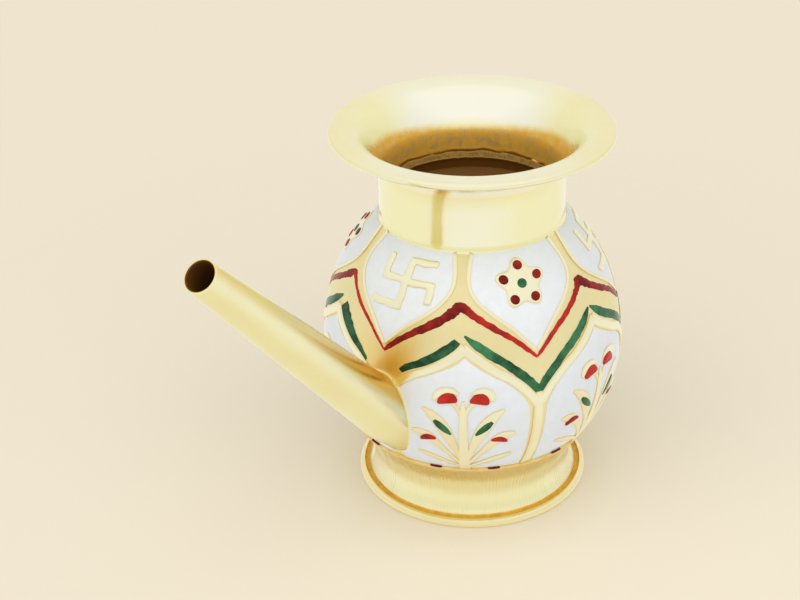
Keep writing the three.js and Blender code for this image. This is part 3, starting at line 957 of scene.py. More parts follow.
class LOTA_OT_bowl(bpy.types.Operator):
    """Turn the bowl, bore the port into the spout and solder the waist"""

    bl_idname = "lota.bowl"
    bl_label = "Bowl"

    def execute(self, context):
        body = context.scene.lota_body
        bowl = Bowl()
        spigot = bowl.base - body.foot_wall / MM - GAP
        sole = bowl.foot - body.spigot_depth / MM
        floor = bowl.foot + body.floor_wall / MM
        inside = [p for p in bowl.face(-bowl.wall) if p.y > floor + 3]
        corner = quadratic(inside[0], *places((spigot, floor), (spigot - 6, floor)), 6)
        profile = [
            *places((0, sole), (spigot, sole), (spigot, bowl.foot)),
            *bowl.face(0),
            *reversed(inside),
            *corner[1:],
            Vector((0, floor)),
        ]
        piece = turned(profile, body.sides)
        self.bore(piece, bowl)
        self.wear_and_painted_light(piece, bowl, floor)
        smooth(piece, 35)
        settle(piece, "bowl_shell", brass("lota_brass_bowl", 0.25, dullness=0.22), "brass", "bowl")
        self.waist(body, bowl)
        return {"FINISHED"}

    def bore(self, piece, bowl):
        """The port behind the spout."""
        spout = bpy.context.scene.lota_spout
        heel = bowl.foot + spout.rise / MM
        bpy.ops.mesh.primitive_cylinder_add(
            vertices=48,
            radius=spout.port_radius,
            depth=4 * spout.inset,
            location=(AXIS - bowl.radius(heel) * MM, 0, heel * MM),
            rotation=(0, math.pi / 2, 0),
        )
        cut_away(piece, bpy.context.object)

    def wear_and_painted_light(self, piece, bowl, floor):
        """Tarnish inside and below, yellowed brass over the base, and a painted reflection of brass on brass
        over the spout's root.
        """
        reflected_spot = Vector((-bowl.radius(REFLECTION_HEIGHT), 0, REFLECTION_HEIGHT))

        def tarnish(p):
            if p.z < floor - 1:
                return 0.2
            return 0.6 if p.xy.length < bowl.radius(p.z) - bowl.wall / 2 else 0.0

        stain(piece, "patina", tarnish)
        # Painted reflection of brass on brass, centred on the bowl over the spout's root.
        stain(piece, "painted_reflection", lambda p: 0.5 * math.exp(-(((p - reflected_spot).length / REFLECTION_REACH) ** 2)))
        stain(piece, "warmth", lambda p: 0.1 + 0.65 * ramp(p.z, *BASE_EDGE))
        stain(piece, "rubbing_and_highlight", lambda p: 0.15 * (1 - ramp(p.z, *BASE_EDGE)))

    def waist(self, body, bowl):
        """Solder that fills the waist from the foot up under the bowl, ridged by the turning tool."""
        foot = FootFlare()
        low = foot.low
        top = bowl.foot + body.waist_fillet / MM
        waist = bowl.base + body.waist_fill / MM
        wall = [
            foot.point(0.97, -0.05),
            *[Vector((waist + out, low + up)) for out, up in WAIST_WALL],
            Vector((bowl.radius(top - 1.9) - 0.1, top - 1.9)),
            Vector((bowl.radius(top) + 0.03, top)),
        ]
        ring = [*through(wall, 4), Vector((bowl.base - 0.8, bowl.foot))]
        fillet = turned([*ring, ring[0]], 8 * RIDGES)
        for vertex in fillet.data.vertices:
            away = Vector((vertex.co.x - AXIS, vertex.co.y, 0))
            z = vertex.co.z / MM
            share = ramp(z, low, low + 0.6) * (1 - ramp(z, top - 4, top - 1))
            share *= 0.8 + 1.4 * (1 - ramp(z, low + 2, low + 5))
            if away.length / MM > waist - 0.5:
                out = away.normalized()
                phase = RIDGES * math.atan2(out.y, out.x) + 3.0 * noise.noise(out * 8.0)
                ridge = math.cos(phase) * max(0.6 + noise.noise(out * 13.0), 0.1)
                vertex.co += out * ridge * share * RIDGE_HEIGHT * MM
        front = highlight_front()
        # Painted highlights: the solder is paled at the two sides turned from the highlight side.
        stain(fillet, "rubbing_and_highlight", lambda p: 0.22 * ramp(aside(p, front), 0.3, 0.8))
        smooth(fillet, 50)
        settle(fillet, "waist_solder", footed_brass(), "solder", "foot_solder_seam")


class LOTA_OT_neck(bpy.types.Operator):
    """Turn the neck with its flared lip, and run the solder round its foot"""

    bl_idname = "lota.neck"
    bl_label = "Neck and rim"

    def execute(self, context):
        body = context.scene.lota_body
        bowl = Bowl()
        wall = body.neck_wall / MM
        seat = bowl.mouth + GAP
        collar = bowl.radius(bowl.mouth) - bowl.wall * math.hypot(1, bowl.slope(bowl.mouth)) - GAP
        bore = collar - body.collar_wall / MM
        low = seat - body.collar_length / MM
        flare = bowl.mouth + body.neck_length / MM
        rim = flare + body.flare_height / MM
        bead = body.lip_bead / MM
        edge = body.rim_radius / MM - bead
        inner = bowl.neck - wall
        outside = places(
            (bowl.neck, flare),
            (bowl.neck, flare + body.flare_turn / MM),
            (edge - body.lip_width / MM, rim - wall - body.lip_drop / MM),
            (edge, rim - wall),
        )
        throat = [Vector((inner + out, flare + up)) for out, up in THROAT]
        profile = [
            *places((collar, low), (collar, seat), (bowl.neck, seat)),
            *cubic(*outside, 28)[:-1],
            *arc(Vector((edge, rim - bead)), bead, bead, -100, 115, 14),
            *reversed(through(throat, 4)),
            *places((inner, seat + 2), (bore, seat), (bore, low), (collar, low)),
        ]
        piece = turned(profile, body.sides)
        self.wear_and_painted_light(piece, bowl, inner, flare)
        smooth(piece, 35)
        settle(piece, "neck_and_lip", brass("lota_brass_neck", dullness=-0.05), "brass", "neck_and_rim")
        self.sleeve(body, inner, flare - 4.2, flare - 1.4)
        self.solder(body, bowl, seat)
        return {"FINISHED"}

    def wear_and_painted_light(self, piece, bowl, inner, flare):
        """Tarnish inside the throat that climbs higher at the two sides as painted shade, and painted
        highlights between them, as bright brass on the neck and the flare.
        """
        front = highlight_front()
        middle = (bowl.neck + inner) / 2

        def lift(z):
            return 3 * ramp(z, flare + 5, flare + 12)

        def tarnish(p):
            # Painted shade: the tarnish reaches higher at the two sides turned from the highlight side.
            climb = flare + 4.5 * aside(p, front)
            amount = 0.4 * (1 - ramp(p.z, climb + 4.5, climb + 7))
            amount += 1.3 * (1 - ramp(p.z, flare - 4.6, flare - 4))
            return amount if p.xy.length < middle + lift(p.z) else 0.0

        # Painted highlights: brass paled on the front and back of the neck and of the flare.
        def rubbing_and_highlight(p):
            radius, turn = p.xy.length, aside(p, front)
            if radius > bowl.neck - 0.3 + lift(p.z) and p.z < flare + 10:
                return (0.12 + 0.4 * (1 - ramp(turn, 0.0, 0.25))) * (1 - ramp(p.z, flare + 2, flare + 10))
            amount = ramp(p.z, flare + 6, flare + 9) * (1 - ramp(turn, 0.3, 0.75))
            return amount * (0.95 - 0.5 * ramp(radius, inner + 5, inner + 12))

        stain(piece, "patina", tarnish)
        stain(piece, "rubbing_and_highlight", rubbing_and_highlight)
        stain(piece, "warmth", lambda p: 0.3 * ramp(p.xy.length, inner + 6, inner + 13))

    def sleeve(self, body, radius, low, high):
        """The bowl's own short neck inside the spun one, with a ragged upper edge."""
        wall = 0.6
        steps = 8
        inner = [Vector((radius - wall, high + (low - high) * i / steps)) for i in range(steps + 1)]
        crest = arc(Vector((radius - wall / 2, high)), wall / 2, 0.3, 0, 180, 6)
        foot = Vector((radius, low))
        piece = turned([foot, *crest, *inner[1:], foot], body.sides)

        def crumbled(p):
            ragged = noise.noise(Vector((p.x, p.y, 0)).normalized() * 7.0)
            dark = ramp(p.z, high - 0.45, high - 0.1) * max(0.9 + 1.6 * ragged, 0)
            return 0.3 + 1.4 * dark + 1.3 * (1 - ramp(p.z, low, low + 0.6))

        stain(piece, "patina", crumbled)
        for vertex in piece.data.vertices:
            turn = Vector((vertex.co.x - AXIS, vertex.co.y, 0)).normalized()
            share = ramp(vertex.co.z / MM, high - 2, high)
            vertex.co.z += 0.8 * MM * share * noise.noise(turn * 5.0)
        smooth(piece, 50)
        settle(piece, "inner_sleeve", brass("lota_brass_neck"), "brass")

    def solder(self, body, bowl, seat):
        """A thin run of solder between the neck and the bowl."""
        top = Vector((bowl.neck, seat + 1))
        turn = Vector((bowl.neck + 0.15, bowl.mouth))
        low = Vector((bowl.radius(bowl.mouth - 0.6), bowl.mouth - 0.6))
        root = Vector((bowl.neck - 0.5, bowl.mouth - 0.5))
        seam = turned([*quadratic(top, turn, low, 6), root, top], body.sides)
        smooth(seam, 50)
        settle(seam, "neck_solder", brass("lota_brass_neck"), "solder", "neck_solder_seam")


class LOTA_OT_foot(bpy.types.Operator):
    """Turn the flared foot with its groove and rolled bead"""

    bl_idname = "lota.foot"
    bl_label = "Foot"

    def execute(self, context):
        body = context.scene.lota_body
        form = FootFlare()
        wall = body.foot_wall / MM
        high = form.low
        groove = form.groove
        bead = groove + body.groove_width / MM
        deep = body.groove_depth / MM
        steps = 24
        outside, inside = ([form.point(i / steps, inset) for i in range(steps + 1)] for inset in (0, wall))
        roll = arc(Vector((bead, high / 2)), body.bead_width / MM, high / 2, -90, 90, 20)
        profile = [
            *roll,
            Vector((bead - 0.15, high - 0.7 * deep)),
            Vector(((groove + bead) / 2, high - deep)),
            Vector((groove + 0.15, high - 0.7 * deep)),
            *reversed(outside),
            *inside,
            Vector((bead - body.sole_width / MM, 0)),
            roll[0],
        ]
        piece = turned(profile, 2 * body.sides)

        def tarnish(p):
            in_groove = groove - 0.3 < p.xy.length < bead + 0.25 and p.z > high - 1.4 * deep
            return 0.5 if in_groove else 0.0

        stain(piece, "patina", tarnish)
        stain(piece, "warmth", lambda p: 0.7 * ramp(p.xy.length, groove, bead))
        smooth(piece, 40)
        settle(piece, "flared_foot", footed_brass(), "brass", "pedestal_foot")
        return {"FINISHED"}


class Spout:
    """The spout's outer face about its slanted axis, in millimetres."""

    def __init__(self, bowl):
        spout = bpy.context.scene.lota_spout
        self.bowl = bowl
        self.heel = spout.heel_radius / MM
        self.tip = spout.tip_radius / MM
        self.reach = spout.reach / MM
        self.end = spout.heel_length / MM
        self.tuck = spout.heel_tuck / MM
        height = bowl.foot + spout.rise / MM
        self.start = Vector((spout.inset / MM - bowl.radius(height), 0, height))
        self.along = Vector((-math.cos(spout.tilt), 0, math.sin(spout.tilt)))
        self.side = Vector((0, 1, 0))
        self.over = self.side.cross(self.along)

    def radius(self, distance):
        """Radius at a distance from the middle of the heel."""
        if distance < 0:
            return self.heel * math.sqrt(max(1 - (distance / self.end) ** 2, 0))
        return self.heel + (self.tip - self.heel) * distance / self.reach

    def drawn_in(self, rise, distance):
        """How much the lower side of the heel is drawn in, from the sine of the turn."""
        return self.tuck * math.sqrt(max(-rise, 0)) * (1 - ramp(distance, 0, 14))

    def point(self, turn, distance, lift=0.0):
        """A point on the outer face, from the vessel's axis."""
        rise = math.sin(turn)
        out = self.side * math.cos(turn) + self.over * rise
        far = self.radius(distance) - self.drawn_in(rise, distance) + lift
        return self.start + self.along * distance + out * max(far, 0)

    def meeting(self, turn):
        """Distance along the spout where it comes out of the bowl."""
        low, high = -0.999 * self.end, self.reach / 2
        for _ in range(40):
            middle = (low + high) / 2
            place = self.point(turn, middle)
            if place.xy.length < self.bowl.radius(place.z):
                low = middle
            else:
                high = middle
        return high


class LOTA_OT_spout(bpy.types.Operator):
    """Turn the tapered spout, cut it to the bowl and run the solder round its root"""

    bl_idname = "lota.spout"
    bl_label = "Spout"

    def execute(self, context):
        sizes = context.scene.lota_spout
        bowl = Bowl()
        form = Spout(bowl)
        wall = sizes.wall / MM
        heel, tip, reach = form.heel, form.tip, form.reach
        origin = Vector((0, 0))
        shares = [i / 40 for i in range(1, 40)]
        outside = [Vector((heel + (tip - heel) * t, reach * t)) for t in shares]
        profile = [
            *arc(origin, heel, form.end, -90, 0, 20),
            *outside,
            *arc(Vector((tip - wall / 2, reach)), wall / 2, wall / 2, 0, 180, 8),
            *[p - Vector((wall, 0)) for p in reversed(outside)],
            *arc(origin, heel - wall, form.end - wall, 0, -90, 20),
        ]
        profile[0].x = profile[-1].x = 0
        piece = turned(profile, 96, axis=0)
        self.shape(piece, form, wall)
        pick(piece)
        piece.rotation_euler = (0, sizes.tilt - math.pi / 2, 0)
        piece.location = Vector((AXIS, 0, 0)) + form.start * MM
        bpy.ops.object.transform_apply()
        core = [Vector((0, bowl.foot)), *bowl.face(-bowl.wall / 2), Vector((0, bowl.mouth))]
        cut_away(piece, turned(core, context.scene.lota_body.sides))
        smooth(piece, 35)
        settle(piece, "spout", plain_brass(), "brass", "spout_tube")
        self.solder(form, sizes.fillet / MM)
        return {"FINISHED"}

    def shape(self, piece, form, wall):
        """Draws in the heel, tarnishes the bore, paints a reflection of brass on the upper flank and
        highlights along the sides, while the spout stands upright.
        """
        patina, painted_reflection, rubbing_and_highlight = [], [], []
        for vertex in piece.data.vertices:
            far = vertex.co.xy.length / MM
            along = vertex.co.z / MM
            rise = vertex.co.x / MM / far if far > 0 else 0.0
            patina.append(1.5 if far < form.radius(along) - wall / 2 else 0.0)
            flank = ramp(rise, 0.15, 0.4) * (1 - ramp(rise, 0.7, 0.92) * ramp(along, 34, 42))
            # Painted reflection of the bowl's brass on the upper flank, strongest near the root.
            painted_reflection.append(flank * (0.25 + 0.7 * (1 - ramp(along, 44, 72))))
            # Painted highlights along both sides of the spout.
            rubbing_and_highlight.append(0.25 * math.exp(-((rise / 0.35) ** 2)))
            if far > 0:
                vertex.co.xy *= max(far - form.drawn_in(rise, along), 0) / far
        paint(piece, "patina", patina)
        paint(piece, "painted_reflection", painted_reflection)
        paint(piece, "rubbing_and_highlight", rubbing_and_highlight)

    def solder(self, form, reach):
        """A hollow run of solder from the spout's face to the bowl's, closed behind."""
        count, steps = 120, 7
        deselect()
        bpy.ops.mesh.primitive_torus_add(major_segments=count, minor_segments=steps + 1, generate_uvs=False)
        piece = bpy.context.object
        points = []
        for i in range(count):
            turn = 2 * math.pi * i / count
            meet = form.meeting(turn)
            below = ramp(-math.sin(turn), 0.4, 0.8)
            above = ramp(math.sin(turn), 0.3, 0.9)
            width = reach * (0.7 + 0.4 * above - 0.15 * below)
            width += 0.15 * reach * noise.noise((math.cos(turn), math.sin(turn), 3.0))
            corner = form.point(turn, meet, 0.05)
            high = form.point(turn, meet + width, 0.03)
            low = form.point(turn, meet, width)
            low.xy *= (form.bowl.radius(low.z) + 0.05) / low.xy.length
            points += [*quadratic(high, corner, low, steps - 1), form.point(turn, meet, -0.5)]
        for vertex, place in zip(piece.data.vertices, points):
            vertex.co = Vector((AXIS, 0, 0)) + place * MM
        bpy.ops.object.mode_set(mode="EDIT")
        bpy.ops.mesh.select_all(action="SELECT")
        bpy.ops.mesh.normals_make_consistent(inside=False)
        bpy.ops.object.mode_set(mode="OBJECT")
        # Painted reflection on the solder, stronger higher up.
        stain(piece, "painted_reflection", lambda p: 0.05 + 0.4 * ramp(p.z, 46, 56))
        smooth(piece, 60)
        settle(piece, "spout_solder", plain_brass(), "solder", "spout_solder_seam")


def field_side(bowl, edge):
    """Right side of a white field, from its point on the middle line."""
    return through([bowl.at(*p) for p in edge], 6)


def field(bowl, edge):
    """Outline of a white field, closed by a level line."""
    across, up = edge[-1]
    level = [bowl.at(across * (1 - i / 12), up) for i in range(1, 12)]
    return both_sides([*field_side(bowl, edge), *level])


def edging(path, width, overlap):
    """Points of a line of a width along the right side of a path."""
    last = len(path) - 1
    points = []
    for i, p in enumerate(path):
        along = (path[min(i + 1, last)] - path[max(i - 1, 0)]).normalized()
        side = p + Vector((along.y, -along.x)) * (width / 2 - overlap)
        points.append(Vector((side.x, side.y, width / 2)))
    return points


class LOTA_OT_fields(bpy.types.Operator):
    """Lay the white fields: six shields under the neck and six arches under the zigzag"""

    bl_idname = "lota.fields"
    bl_label = "White fields"

    def execute(self, context):
        pattern = context.scene.lota_pattern
        bowl = Bowl()
        seat = pattern.seat / MM
        rise = seat + pattern.white_rise / MM
        for edge, name, offset in ((SHIELD_EDGE, "upper_white", 0), (ARCH_EDGE, "lower_white", 0.5)):
            flat = drawn(field(bowl, edge), rise, WHITE_INSETS, pattern.white_dome / MM)
            for i in range(SECTORS):
                spot = (bowl, sector_angle(i + offset), -seat)
                enamelled(flat, spot, WHITE_TONES, "white", f"{name}_field_{i + 1}", f"{name}_panel_{i + 1}")
            remove(flat)
        return {"FINISHED"}


class LOTA_OT_borders(bpy.types.Operator):
    """Raise the brass lines round the white fields, the ribs between them and the ring below"""

    bl_idname = "lota.borders"
    bl_label = "Borders and ribs"

    def execute(self, context):
        pattern = context.scene.lota_pattern
        bowl = Bowl()
        seat = pattern.seat / MM
        rise = seat + pattern.relief_rise / MM
        side = field_side(bowl, SHIELD_EDGE)
        path = edging(mirrored(side) + side[1:], pattern.border_width / MM, 0.2)
        shield_line = drawn(brush(path, 1), rise, LINE_INSETS)
        arms = brush(bowl.sketched([*ARCH_ARM, *flipped(ARCH_ARM[:-1])]), turns=True)
        arch_line = drawn(arms, rise, ARCH_INSETS)
        rib = drawn(brush(bowl.sketched(RIB)), rise, RIB_INSETS)
        for i in range(SECTORS):
            angle = sector_angle(i)
            raised(shield_line, (bowl, angle, -seat), f"shield_border_{i + 1}")
            raised(arch_line, (bowl, angle, -seat - 0.03 * (i % 2)), f"arch_border_{i + 1}")
            if i:
                raised(rib, (bowl, angle, -seat), f"lower_rib_{i + 1}")
        for flat in (shield_line, arch_line, rib):
            remove(flat)
        self.base_ring(context, bowl)
        return {"FINISHED"}

    def base_ring(self, context, bowl):
        """The round line that the white fields stand on."""
        low = bowl.foot + BASE_RING * (bowl.mouth - bowl.foot)
        bpy.ops.mesh.primitive_torus_add(
            location=(AXIS, 0, low * MM),
            major_segments=context.scene.lota_body.sides,
            minor_segments=14,
            major_radius=bowl.radius(low) * MM,
            minor_radius=context.scene.lota_pattern.ring_radius,
        )
        ring = context.object
        bpy.ops.object.transform_apply()
        stain(ring, "patina", lambda p: 0.3)
        smooth(ring, 60)
        settle(ring, "enamel_base_ring", plain_brass(), "brass")


class LOTA_OT_strokes(bpy.types.Operator):
    """Lay the red strokes over the peaks and the green ones in the valleys, each by a free hand"""

    bl_idname = "lota.strokes"
    bl_label = "Coloured strokes"

    def execute(self, context):
        pattern = context.scene.lota_pattern
        bowl = Bowl()
        seat = pattern.seat / MM
        rise = seat + pattern.stroke_rise / MM

        def stroke(points, hand, sector, tones, tint, *names):
            seed, wobble = hand
            outline = brush(bowl.sketched(points), 9, wobble, seed, True)
            flat = drawn(outline, rise, STROKE_INSETS)
            enamelled(flat, (bowl, sector_angle(sector), -seat), tones, tint, *names)
            remove(flat)

        for i, (first, second) in enumerate(RED_WIDTHS):
            left = [(a, u, w * first) for a, u, w in flipped(RED_HALF[1:])]
            right = [(a, u, w * second) for a, u, w in RED_HALF]
            names = (f"red_stroke_{i + 1}", f"red_zigzag_{i + 1}")
            stroke(left + right, (i, 0.3), i + 0.5, RED_TONES[i], "red", *names)
        for i, tones in enumerate(GREEN_TONES, 1):
            names = (f"green_line_{i + 1}", f"green_stroke_{i + 1}")
            stroke([*flipped(GREEN_HALF[1:]), *GREEN_HALF], (20 + i, 0.16), i, tones, "green", *names)
        for side, points in (("right", SHORT_RIGHT), ("left", SHORT_LEFT)):
            names = (f"green_line_spout_{side}", f"green_stroke_spout_{side}")
            stroke(points, (40, 0.16), 0, SHORT_TONES, "green", *names)
        return {"FINISHED"}


class LOTA_OT_marks(bpy.types.Operator):
    """Raise the right-turning marks on every other shield"""

    bl_idname = "lota.marks"
    bl_label = "Swastikas"

    def execute(self, context):
        pattern = context.scene.lota_pattern
        bowl = Bowl()
        half = pattern.mark_width / MM / 2
        centre = bowl.at(0.095, 0.893)
        corners = []
        for quarter, (reach, bend) in enumerate(MARK_ARMS):
            arm = reach * pattern.mark_arm / MM
            hook = bend * pattern.mark_hook / MM
            outer, inner = arm + half, arm - half
            for x, y in ((-half, half), (-half, outer), (hook, outer), (hook, inner), (half, inner)):
                for _ in range(quarter):
                    x, y = y, -x
                corners.append(centre + Vector((x, y)))
        outline = shaken(rounded(divided(corners, 1.3), 2), 0.5)
        rise = (pattern.seat + pattern.relief_rise) / MM
        flat = drawn(outline, rise, MARK_INSETS)
        for i in range(0, SECTORS, 2):
            raised(flat, (bowl, sector_angle(i), RELIEF_SEAT), f"swastika_{i + 1}", f"brass_swastika_{i + 1}")
        remove(flat)
        return {"FINISHED"}


class LOTA_OT_flowers(bpy.types.Operator):
    """Raise the flowers between the marks, with five red drops and a green one on each"""

    bl_idname = "lota.flowers"
    bl_label = "Flowers"

    def execute(self, context):
        pattern = context.scene.lota_pattern
        bowl = Bowl()
        centre = bowl.at(-0.04, 0.898)
        lean = math.radians(-1)
        petals, sides = 5, 60

        def spot(far, turn):
            return centre + Vector((-far * math.sin(turn), far * math.cos(turn)))

        def drop(place):
            ring = arc(place, pattern.flower_drop / MM, pattern.flower_drop / MM, 0, 345, 23)
            return drawn(ring, (pattern.seat + pattern.drop_rise) / MM, DROP_INSETS)

        edge = []
        for i in range(sides):
            turn = 2 * math.pi * i / sides
            notch = pattern.flower_notch / MM / 2 * (1 - math.cos(petals * (turn - lean)))
            edge.append(spot(pattern.flower_radius / MM - notch, turn))
        plate = drawn(edge, (pattern.seat + 0.6 * pattern.relief_rise) / MM, FLOWER_INSETS)
        turns = [lean + 2 * math.pi * i / petals for i in range(petals)]
        reds = joined([drop(spot(pattern.flower_ring / MM, turn)) for turn in turns])
        green = drop(centre)
        for i in range(1, SECTORS, 2):
            angle = sector_angle(i)
            raised(plate, (bowl, angle, RELIEF_SEAT), f"flower_{i + 1}", f"brass_flower_{i + 1}")
            for flat, tint, tones in ((reds, "red", [0.1, 0.35]), (green, "green", [0.3, 0.4])):
                enamelled(flat, (bowl, angle, DROP_LIFT), tones, tint, f"flower_{tint}_{i + 1}")
        for flat in (plate, reds, green):
            remove(flat)
        return {"FINISHED"}


class LOTA_OT_sprigs(bpy.types.Operator):
    """Raise a sprig on every arch, with red and green drops on its leaves and buds"""

    bl_idname = "lota.sprigs"
    bl_label = "Sprigs"

    def execute(self, context):
        pattern = context.scene.lota_pattern
        bowl = Bowl()
        rise = (pattern.seat + pattern.relief_rise) / MM
        high = (pattern.seat + pattern.drop_rise) / MM

        def around(across, up, points, side, height, rounding):
            centre = bowl.at(across * side, up)
            run = [Vector((centre.x + side * x, centre.y + y, w)) for x, y, w in points]
            return drawn(brush(run[::side]), height, rounding)

        lines = [drawn(brush(bowl.sketched(SPRIG_STEM)), rise, LEAF_INSETS)]
        buds, seeds, dashes = [], [], []
        for side, sink in ((1, 0.02), (-1, 0.12)):
            for leaf in SPRIG_LEAVES:
                run = [(a * side, u, w) for a, u, w in leaf]
                lines.append(drawn(brush(bowl.sketched(run)), rise - sink, LEAF_INSETS))
            lines.append(around(0.2, 0.519, SPRIG_CAP, side, rise, LEAF_INSETS))
            for across, up, wide, tall, bend, lean in SPRIG_BUDS:
                outline = bean(bowl.at(across * side, up), wide, tall, bend, lean * side)
                buds.append(drawn(outline, high, BUD_INSETS))
            dashes.append(around(0.44, 0.15, SPRIG_DASH, side, high, DASH_INSETS))
            seeds.append(around(0.255, 0.391, SPRIG_SEED, side, high, BUD_INSETS))
        relief, reds, greens, marks = map(joined, (lines, buds, seeds, dashes))
        drops = (
            (reds, "red", "red", [0.45, 0.9, 0.8, 0.9, 0.5]),
            (marks, "red", "dash", [0.0, 0.0]),
            (greens, "green", "green", [0.15, 0.7, 0.5, 0.6, 0.25]),
        )
        for i, lean in enumerate(SPRIG_LEANS):
            angle = sector_angle(i + 0.5) + HALF_SECTOR * lean
            raised(relief, (bowl, angle, RELIEF_SEAT), f"sprig_{i + 1}", f"brass_sprig_{i + 1}")
            for flat, tint, name, tones in drops:
                enamelled(flat, (bowl, angle, BUD_LIFT), tones, tint, f"sprig_{name}_{i + 1}")
        for flat in (relief, reds, greens, marks):
            remove(flat)
        return {"FINISHED"}


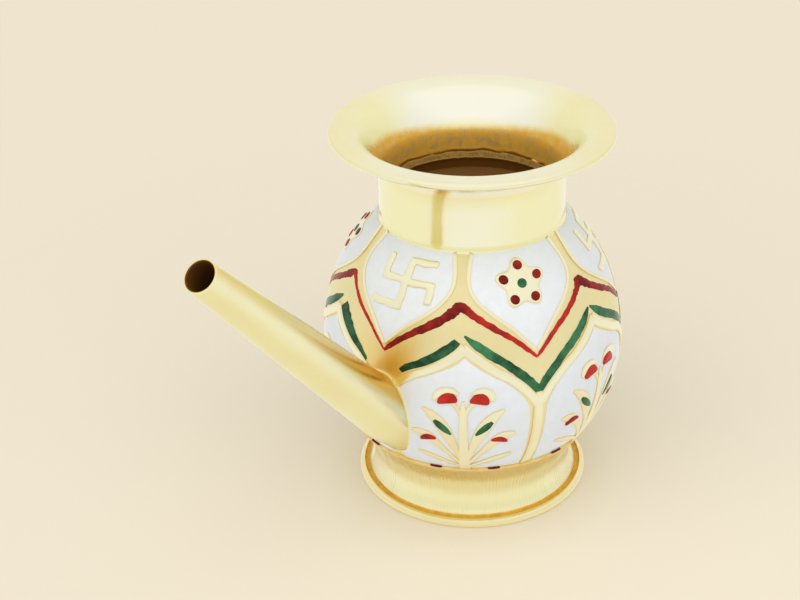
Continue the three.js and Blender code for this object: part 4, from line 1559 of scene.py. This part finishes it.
class LOTA_OT_stage(bpy.types.Operator):
    """Set the floor, the light and the camera"""

    bl_idname = "lota.stage"
    bl_label = "Stage"

    def execute(self, context):
        stage = context.scene.lota_stage
        self.floor(stage)
        self.room(context.scene, stage)
        self.lamp(stage)
        self.camera(context.scene, stage)
        context.scene.view_settings.view_transform = "Standard"
        return {"FINISHED"}

    def floor(self, stage):
        """A round sheet of paper that fades into the backdrop. Metal sees the room instead of it."""
        deselect()
        bpy.ops.mesh.primitive_circle_add(vertices=96, radius=0.9, fill_type="NGON", location=(AXIS, 0, 0))
        floor = bpy.context.object
        floor.name = "floor"
        material = bpy.data.materials.new("lota_paper")
        material.use_nodes = True
        tree = material.node_tree
        shader = tree.nodes["Principled BSDF"]
        shader.inputs["Roughness"].default_value = 0.9
        shader.inputs["Specular IOR Level"].default_value = 0.0
        place = made(tree, "ShaderNodeTexCoord").outputs["Object"]
        fibres = clouds(tree, place, 700.0, 3.0)
        paper = mixed(tree, fibres, stage.floor, tuple(0.985 * c for c in stage.floor))
        rays = made(tree, "ShaderNodeLightPath")
        seen = mixed(tree, rays.outputs["Is Camera Ray"], (0.88, 0.87, 0.85), paper)
        link(tree, seen, shader.inputs["Base Color"])
        far = made(tree, "ShaderNodeVectorMath", operation="LENGTH")
        link(tree, place, far.inputs[0])
        fading = spread(tree, far.outputs["Value"], 0.10, 0.30, 1.0, 0.0)
        plain = spread(tree, rays.outputs["Is Glossy Ray"], 0.0, 1.0, 1.0, 0.0)
        link(tree, times(tree, fading, plain), shader.inputs["Alpha"])
        floor.data.materials.append(material)

    def room(self, scene, stage):
        """A white room. The camera sees the backdrop's colour in it, and metal sees ground and a soft box."""
        world = bpy.data.worlds.new("lota_room")
        scene.world = world
        world.use_nodes = True
        tree = world.node_tree
        room = tree.nodes["Background"]
        backdrop = made(tree, "ShaderNodeBackground", color=(*stage.backdrop, 1.0), strength=1.0)
        rays = made(tree, "ShaderNodeLightPath").outputs
        glossy = rays["Is Glossy Ray"]
        way = made(tree, "ShaderNodeTexCoord").outputs["Generated"]
        parts = made(tree, "ShaderNodeSeparateXYZ")
        link(tree, way, parts.inputs[0])
        up = parts.outputs["Z"]

        behind = spread(tree, toward(tree, way, heading(stage.azimuth, 0)), -0.9, 0.3, 0.55, 0.0)
        far = times(tree, times(tree, behind, spread(tree, up, -0.2, 0.0, 1.0, 0.0)), glossy)
        near = times(tree, spread(tree, up, -0.85, -0.5, 0.9, 0.0), glossy)
        ground = mixed(tree, far, (1.0, 0.995, 0.98), stage.far_ground)
        link(tree, mixed(tree, near, ground, stage.near_ground), room.inputs["Color"])

        above = spread(tree, up, 0.0, 0.5, stage.room_low, stage.room_high)
        box = toward(tree, way, heading(stage.azimuth, stage.lamp_elevation))
        above = plus(tree, above, spread(tree, box, 0.55, 0.8, 0.0, stage.soft_box))
        below = spread(tree, up, -0.2, 0.0, stage.room_floor, stage.room_low)
        more = sums(tree, "SUBTRACT", sums(tree, "MAXIMUM", above, below), stage.room_level)
        link(tree, plus(tree, times(tree, more, glossy), stage.room_level), room.inputs["Strength"])

        either = made(tree, "ShaderNodeMixShader")
        for start, end in zip((rays["Is Camera Ray"], room.outputs[0], backdrop.outputs[0]), either.inputs):
            link(tree, start, end)
        link(tree, either.outputs[0], tree.nodes["World Output"].inputs["Surface"])

    def lamp(self, stage):
        """One broad lamp over the camera."""
        away = heading(stage.azimuth, stage.lamp_elevation)
        place = Vector((AXIS, 0, stage.aim)) + away * stage.lamp_distance
        bpy.ops.object.light_add(type="AREA", location=place)
        lamp = bpy.context.object
        lamp.name = "soft_lamp"
        lamp.data.shape = "RECTANGLE"
        lamp.data.size = stage.lamp_width
        lamp.data.size_y = stage.lamp_height
        lamp.data.energy = stage.lamp_power
        lamp.rotation_euler = (-away).to_track_quat("-Z", "Y").to_euler()
        lamp.visible_glossy = False

    def camera(self, scene, stage):
        """The photograph's camera."""
        away = heading(stage.azimuth, stage.elevation)
        bpy.ops.object.camera_add(location=Vector((AXIS, 0, stage.aim)) + away * stage.distance)
        camera = bpy.context.object
        camera.name = "camera"
        camera.data.lens = stage.lens
        camera.data.sensor_width = 36.0
        camera.data.clip_start = 0.01
        turn = (-away).to_track_quat("-Z", "Y") @ Quaternion((0, 1, 0), stage.yaw)
        camera.rotation_euler = turn.to_euler()
        scene.camera = camera


class LOTA_PT_panel(bpy.types.Panel):
    """Sidebar list of the steps"""

    bl_idname = "LOTA_PT_panel"
    bl_label = "Spouted lota"
    bl_space_type = "VIEW_3D"
    bl_region_type = "UI"
    bl_category = "Lota"

    def draw(self, context):
        for operator in OPERATORS:
            self.layout.operator(operator.bl_idname)


OPERATORS = (
    LOTA_OT_bowl,
    LOTA_OT_neck,
    LOTA_OT_foot,
    LOTA_OT_spout,
    LOTA_OT_fields,
    LOTA_OT_borders,
    LOTA_OT_strokes,
    LOTA_OT_marks,
    LOTA_OT_flowers,
    LOTA_OT_sprigs,
    LOTA_OT_stage,
)
GROUPS = {
    "lota_body": LotaBody,
    "lota_spout": LotaSpout,
    "lota_pattern": LotaPattern,
    "lota_finish": LotaFinish,
    "lota_stage": LotaStage,
}


def register():
    for kind in (*GROUPS.values(), *OPERATORS, LOTA_PT_panel):
        bpy.utils.register_class(kind)
    for name, kind in GROUPS.items():
        setattr(bpy.types.Scene, name, PointerProperty(type=kind))


def unregister():
    for name in GROUPS:
        delattr(bpy.types.Scene, name)
    for kind in reversed((*GROUPS.values(), *OPERATORS, LOTA_PT_panel)):
        bpy.utils.unregister_class(kind)


def main():
    register()
    deselect()
    bpy.ops.lota.bowl()
    bpy.ops.lota.neck()
    bpy.ops.lota.foot()
    bpy.ops.lota.spout()
    bpy.ops.lota.fields()
    bpy.ops.lota.borders()
    bpy.ops.lota.strokes()
    bpy.ops.lota.marks()
    bpy.ops.lota.flowers()
    bpy.ops.lota.sprigs()
    bpy.ops.lota.stage()


if __name__ == "__main__":
    main()
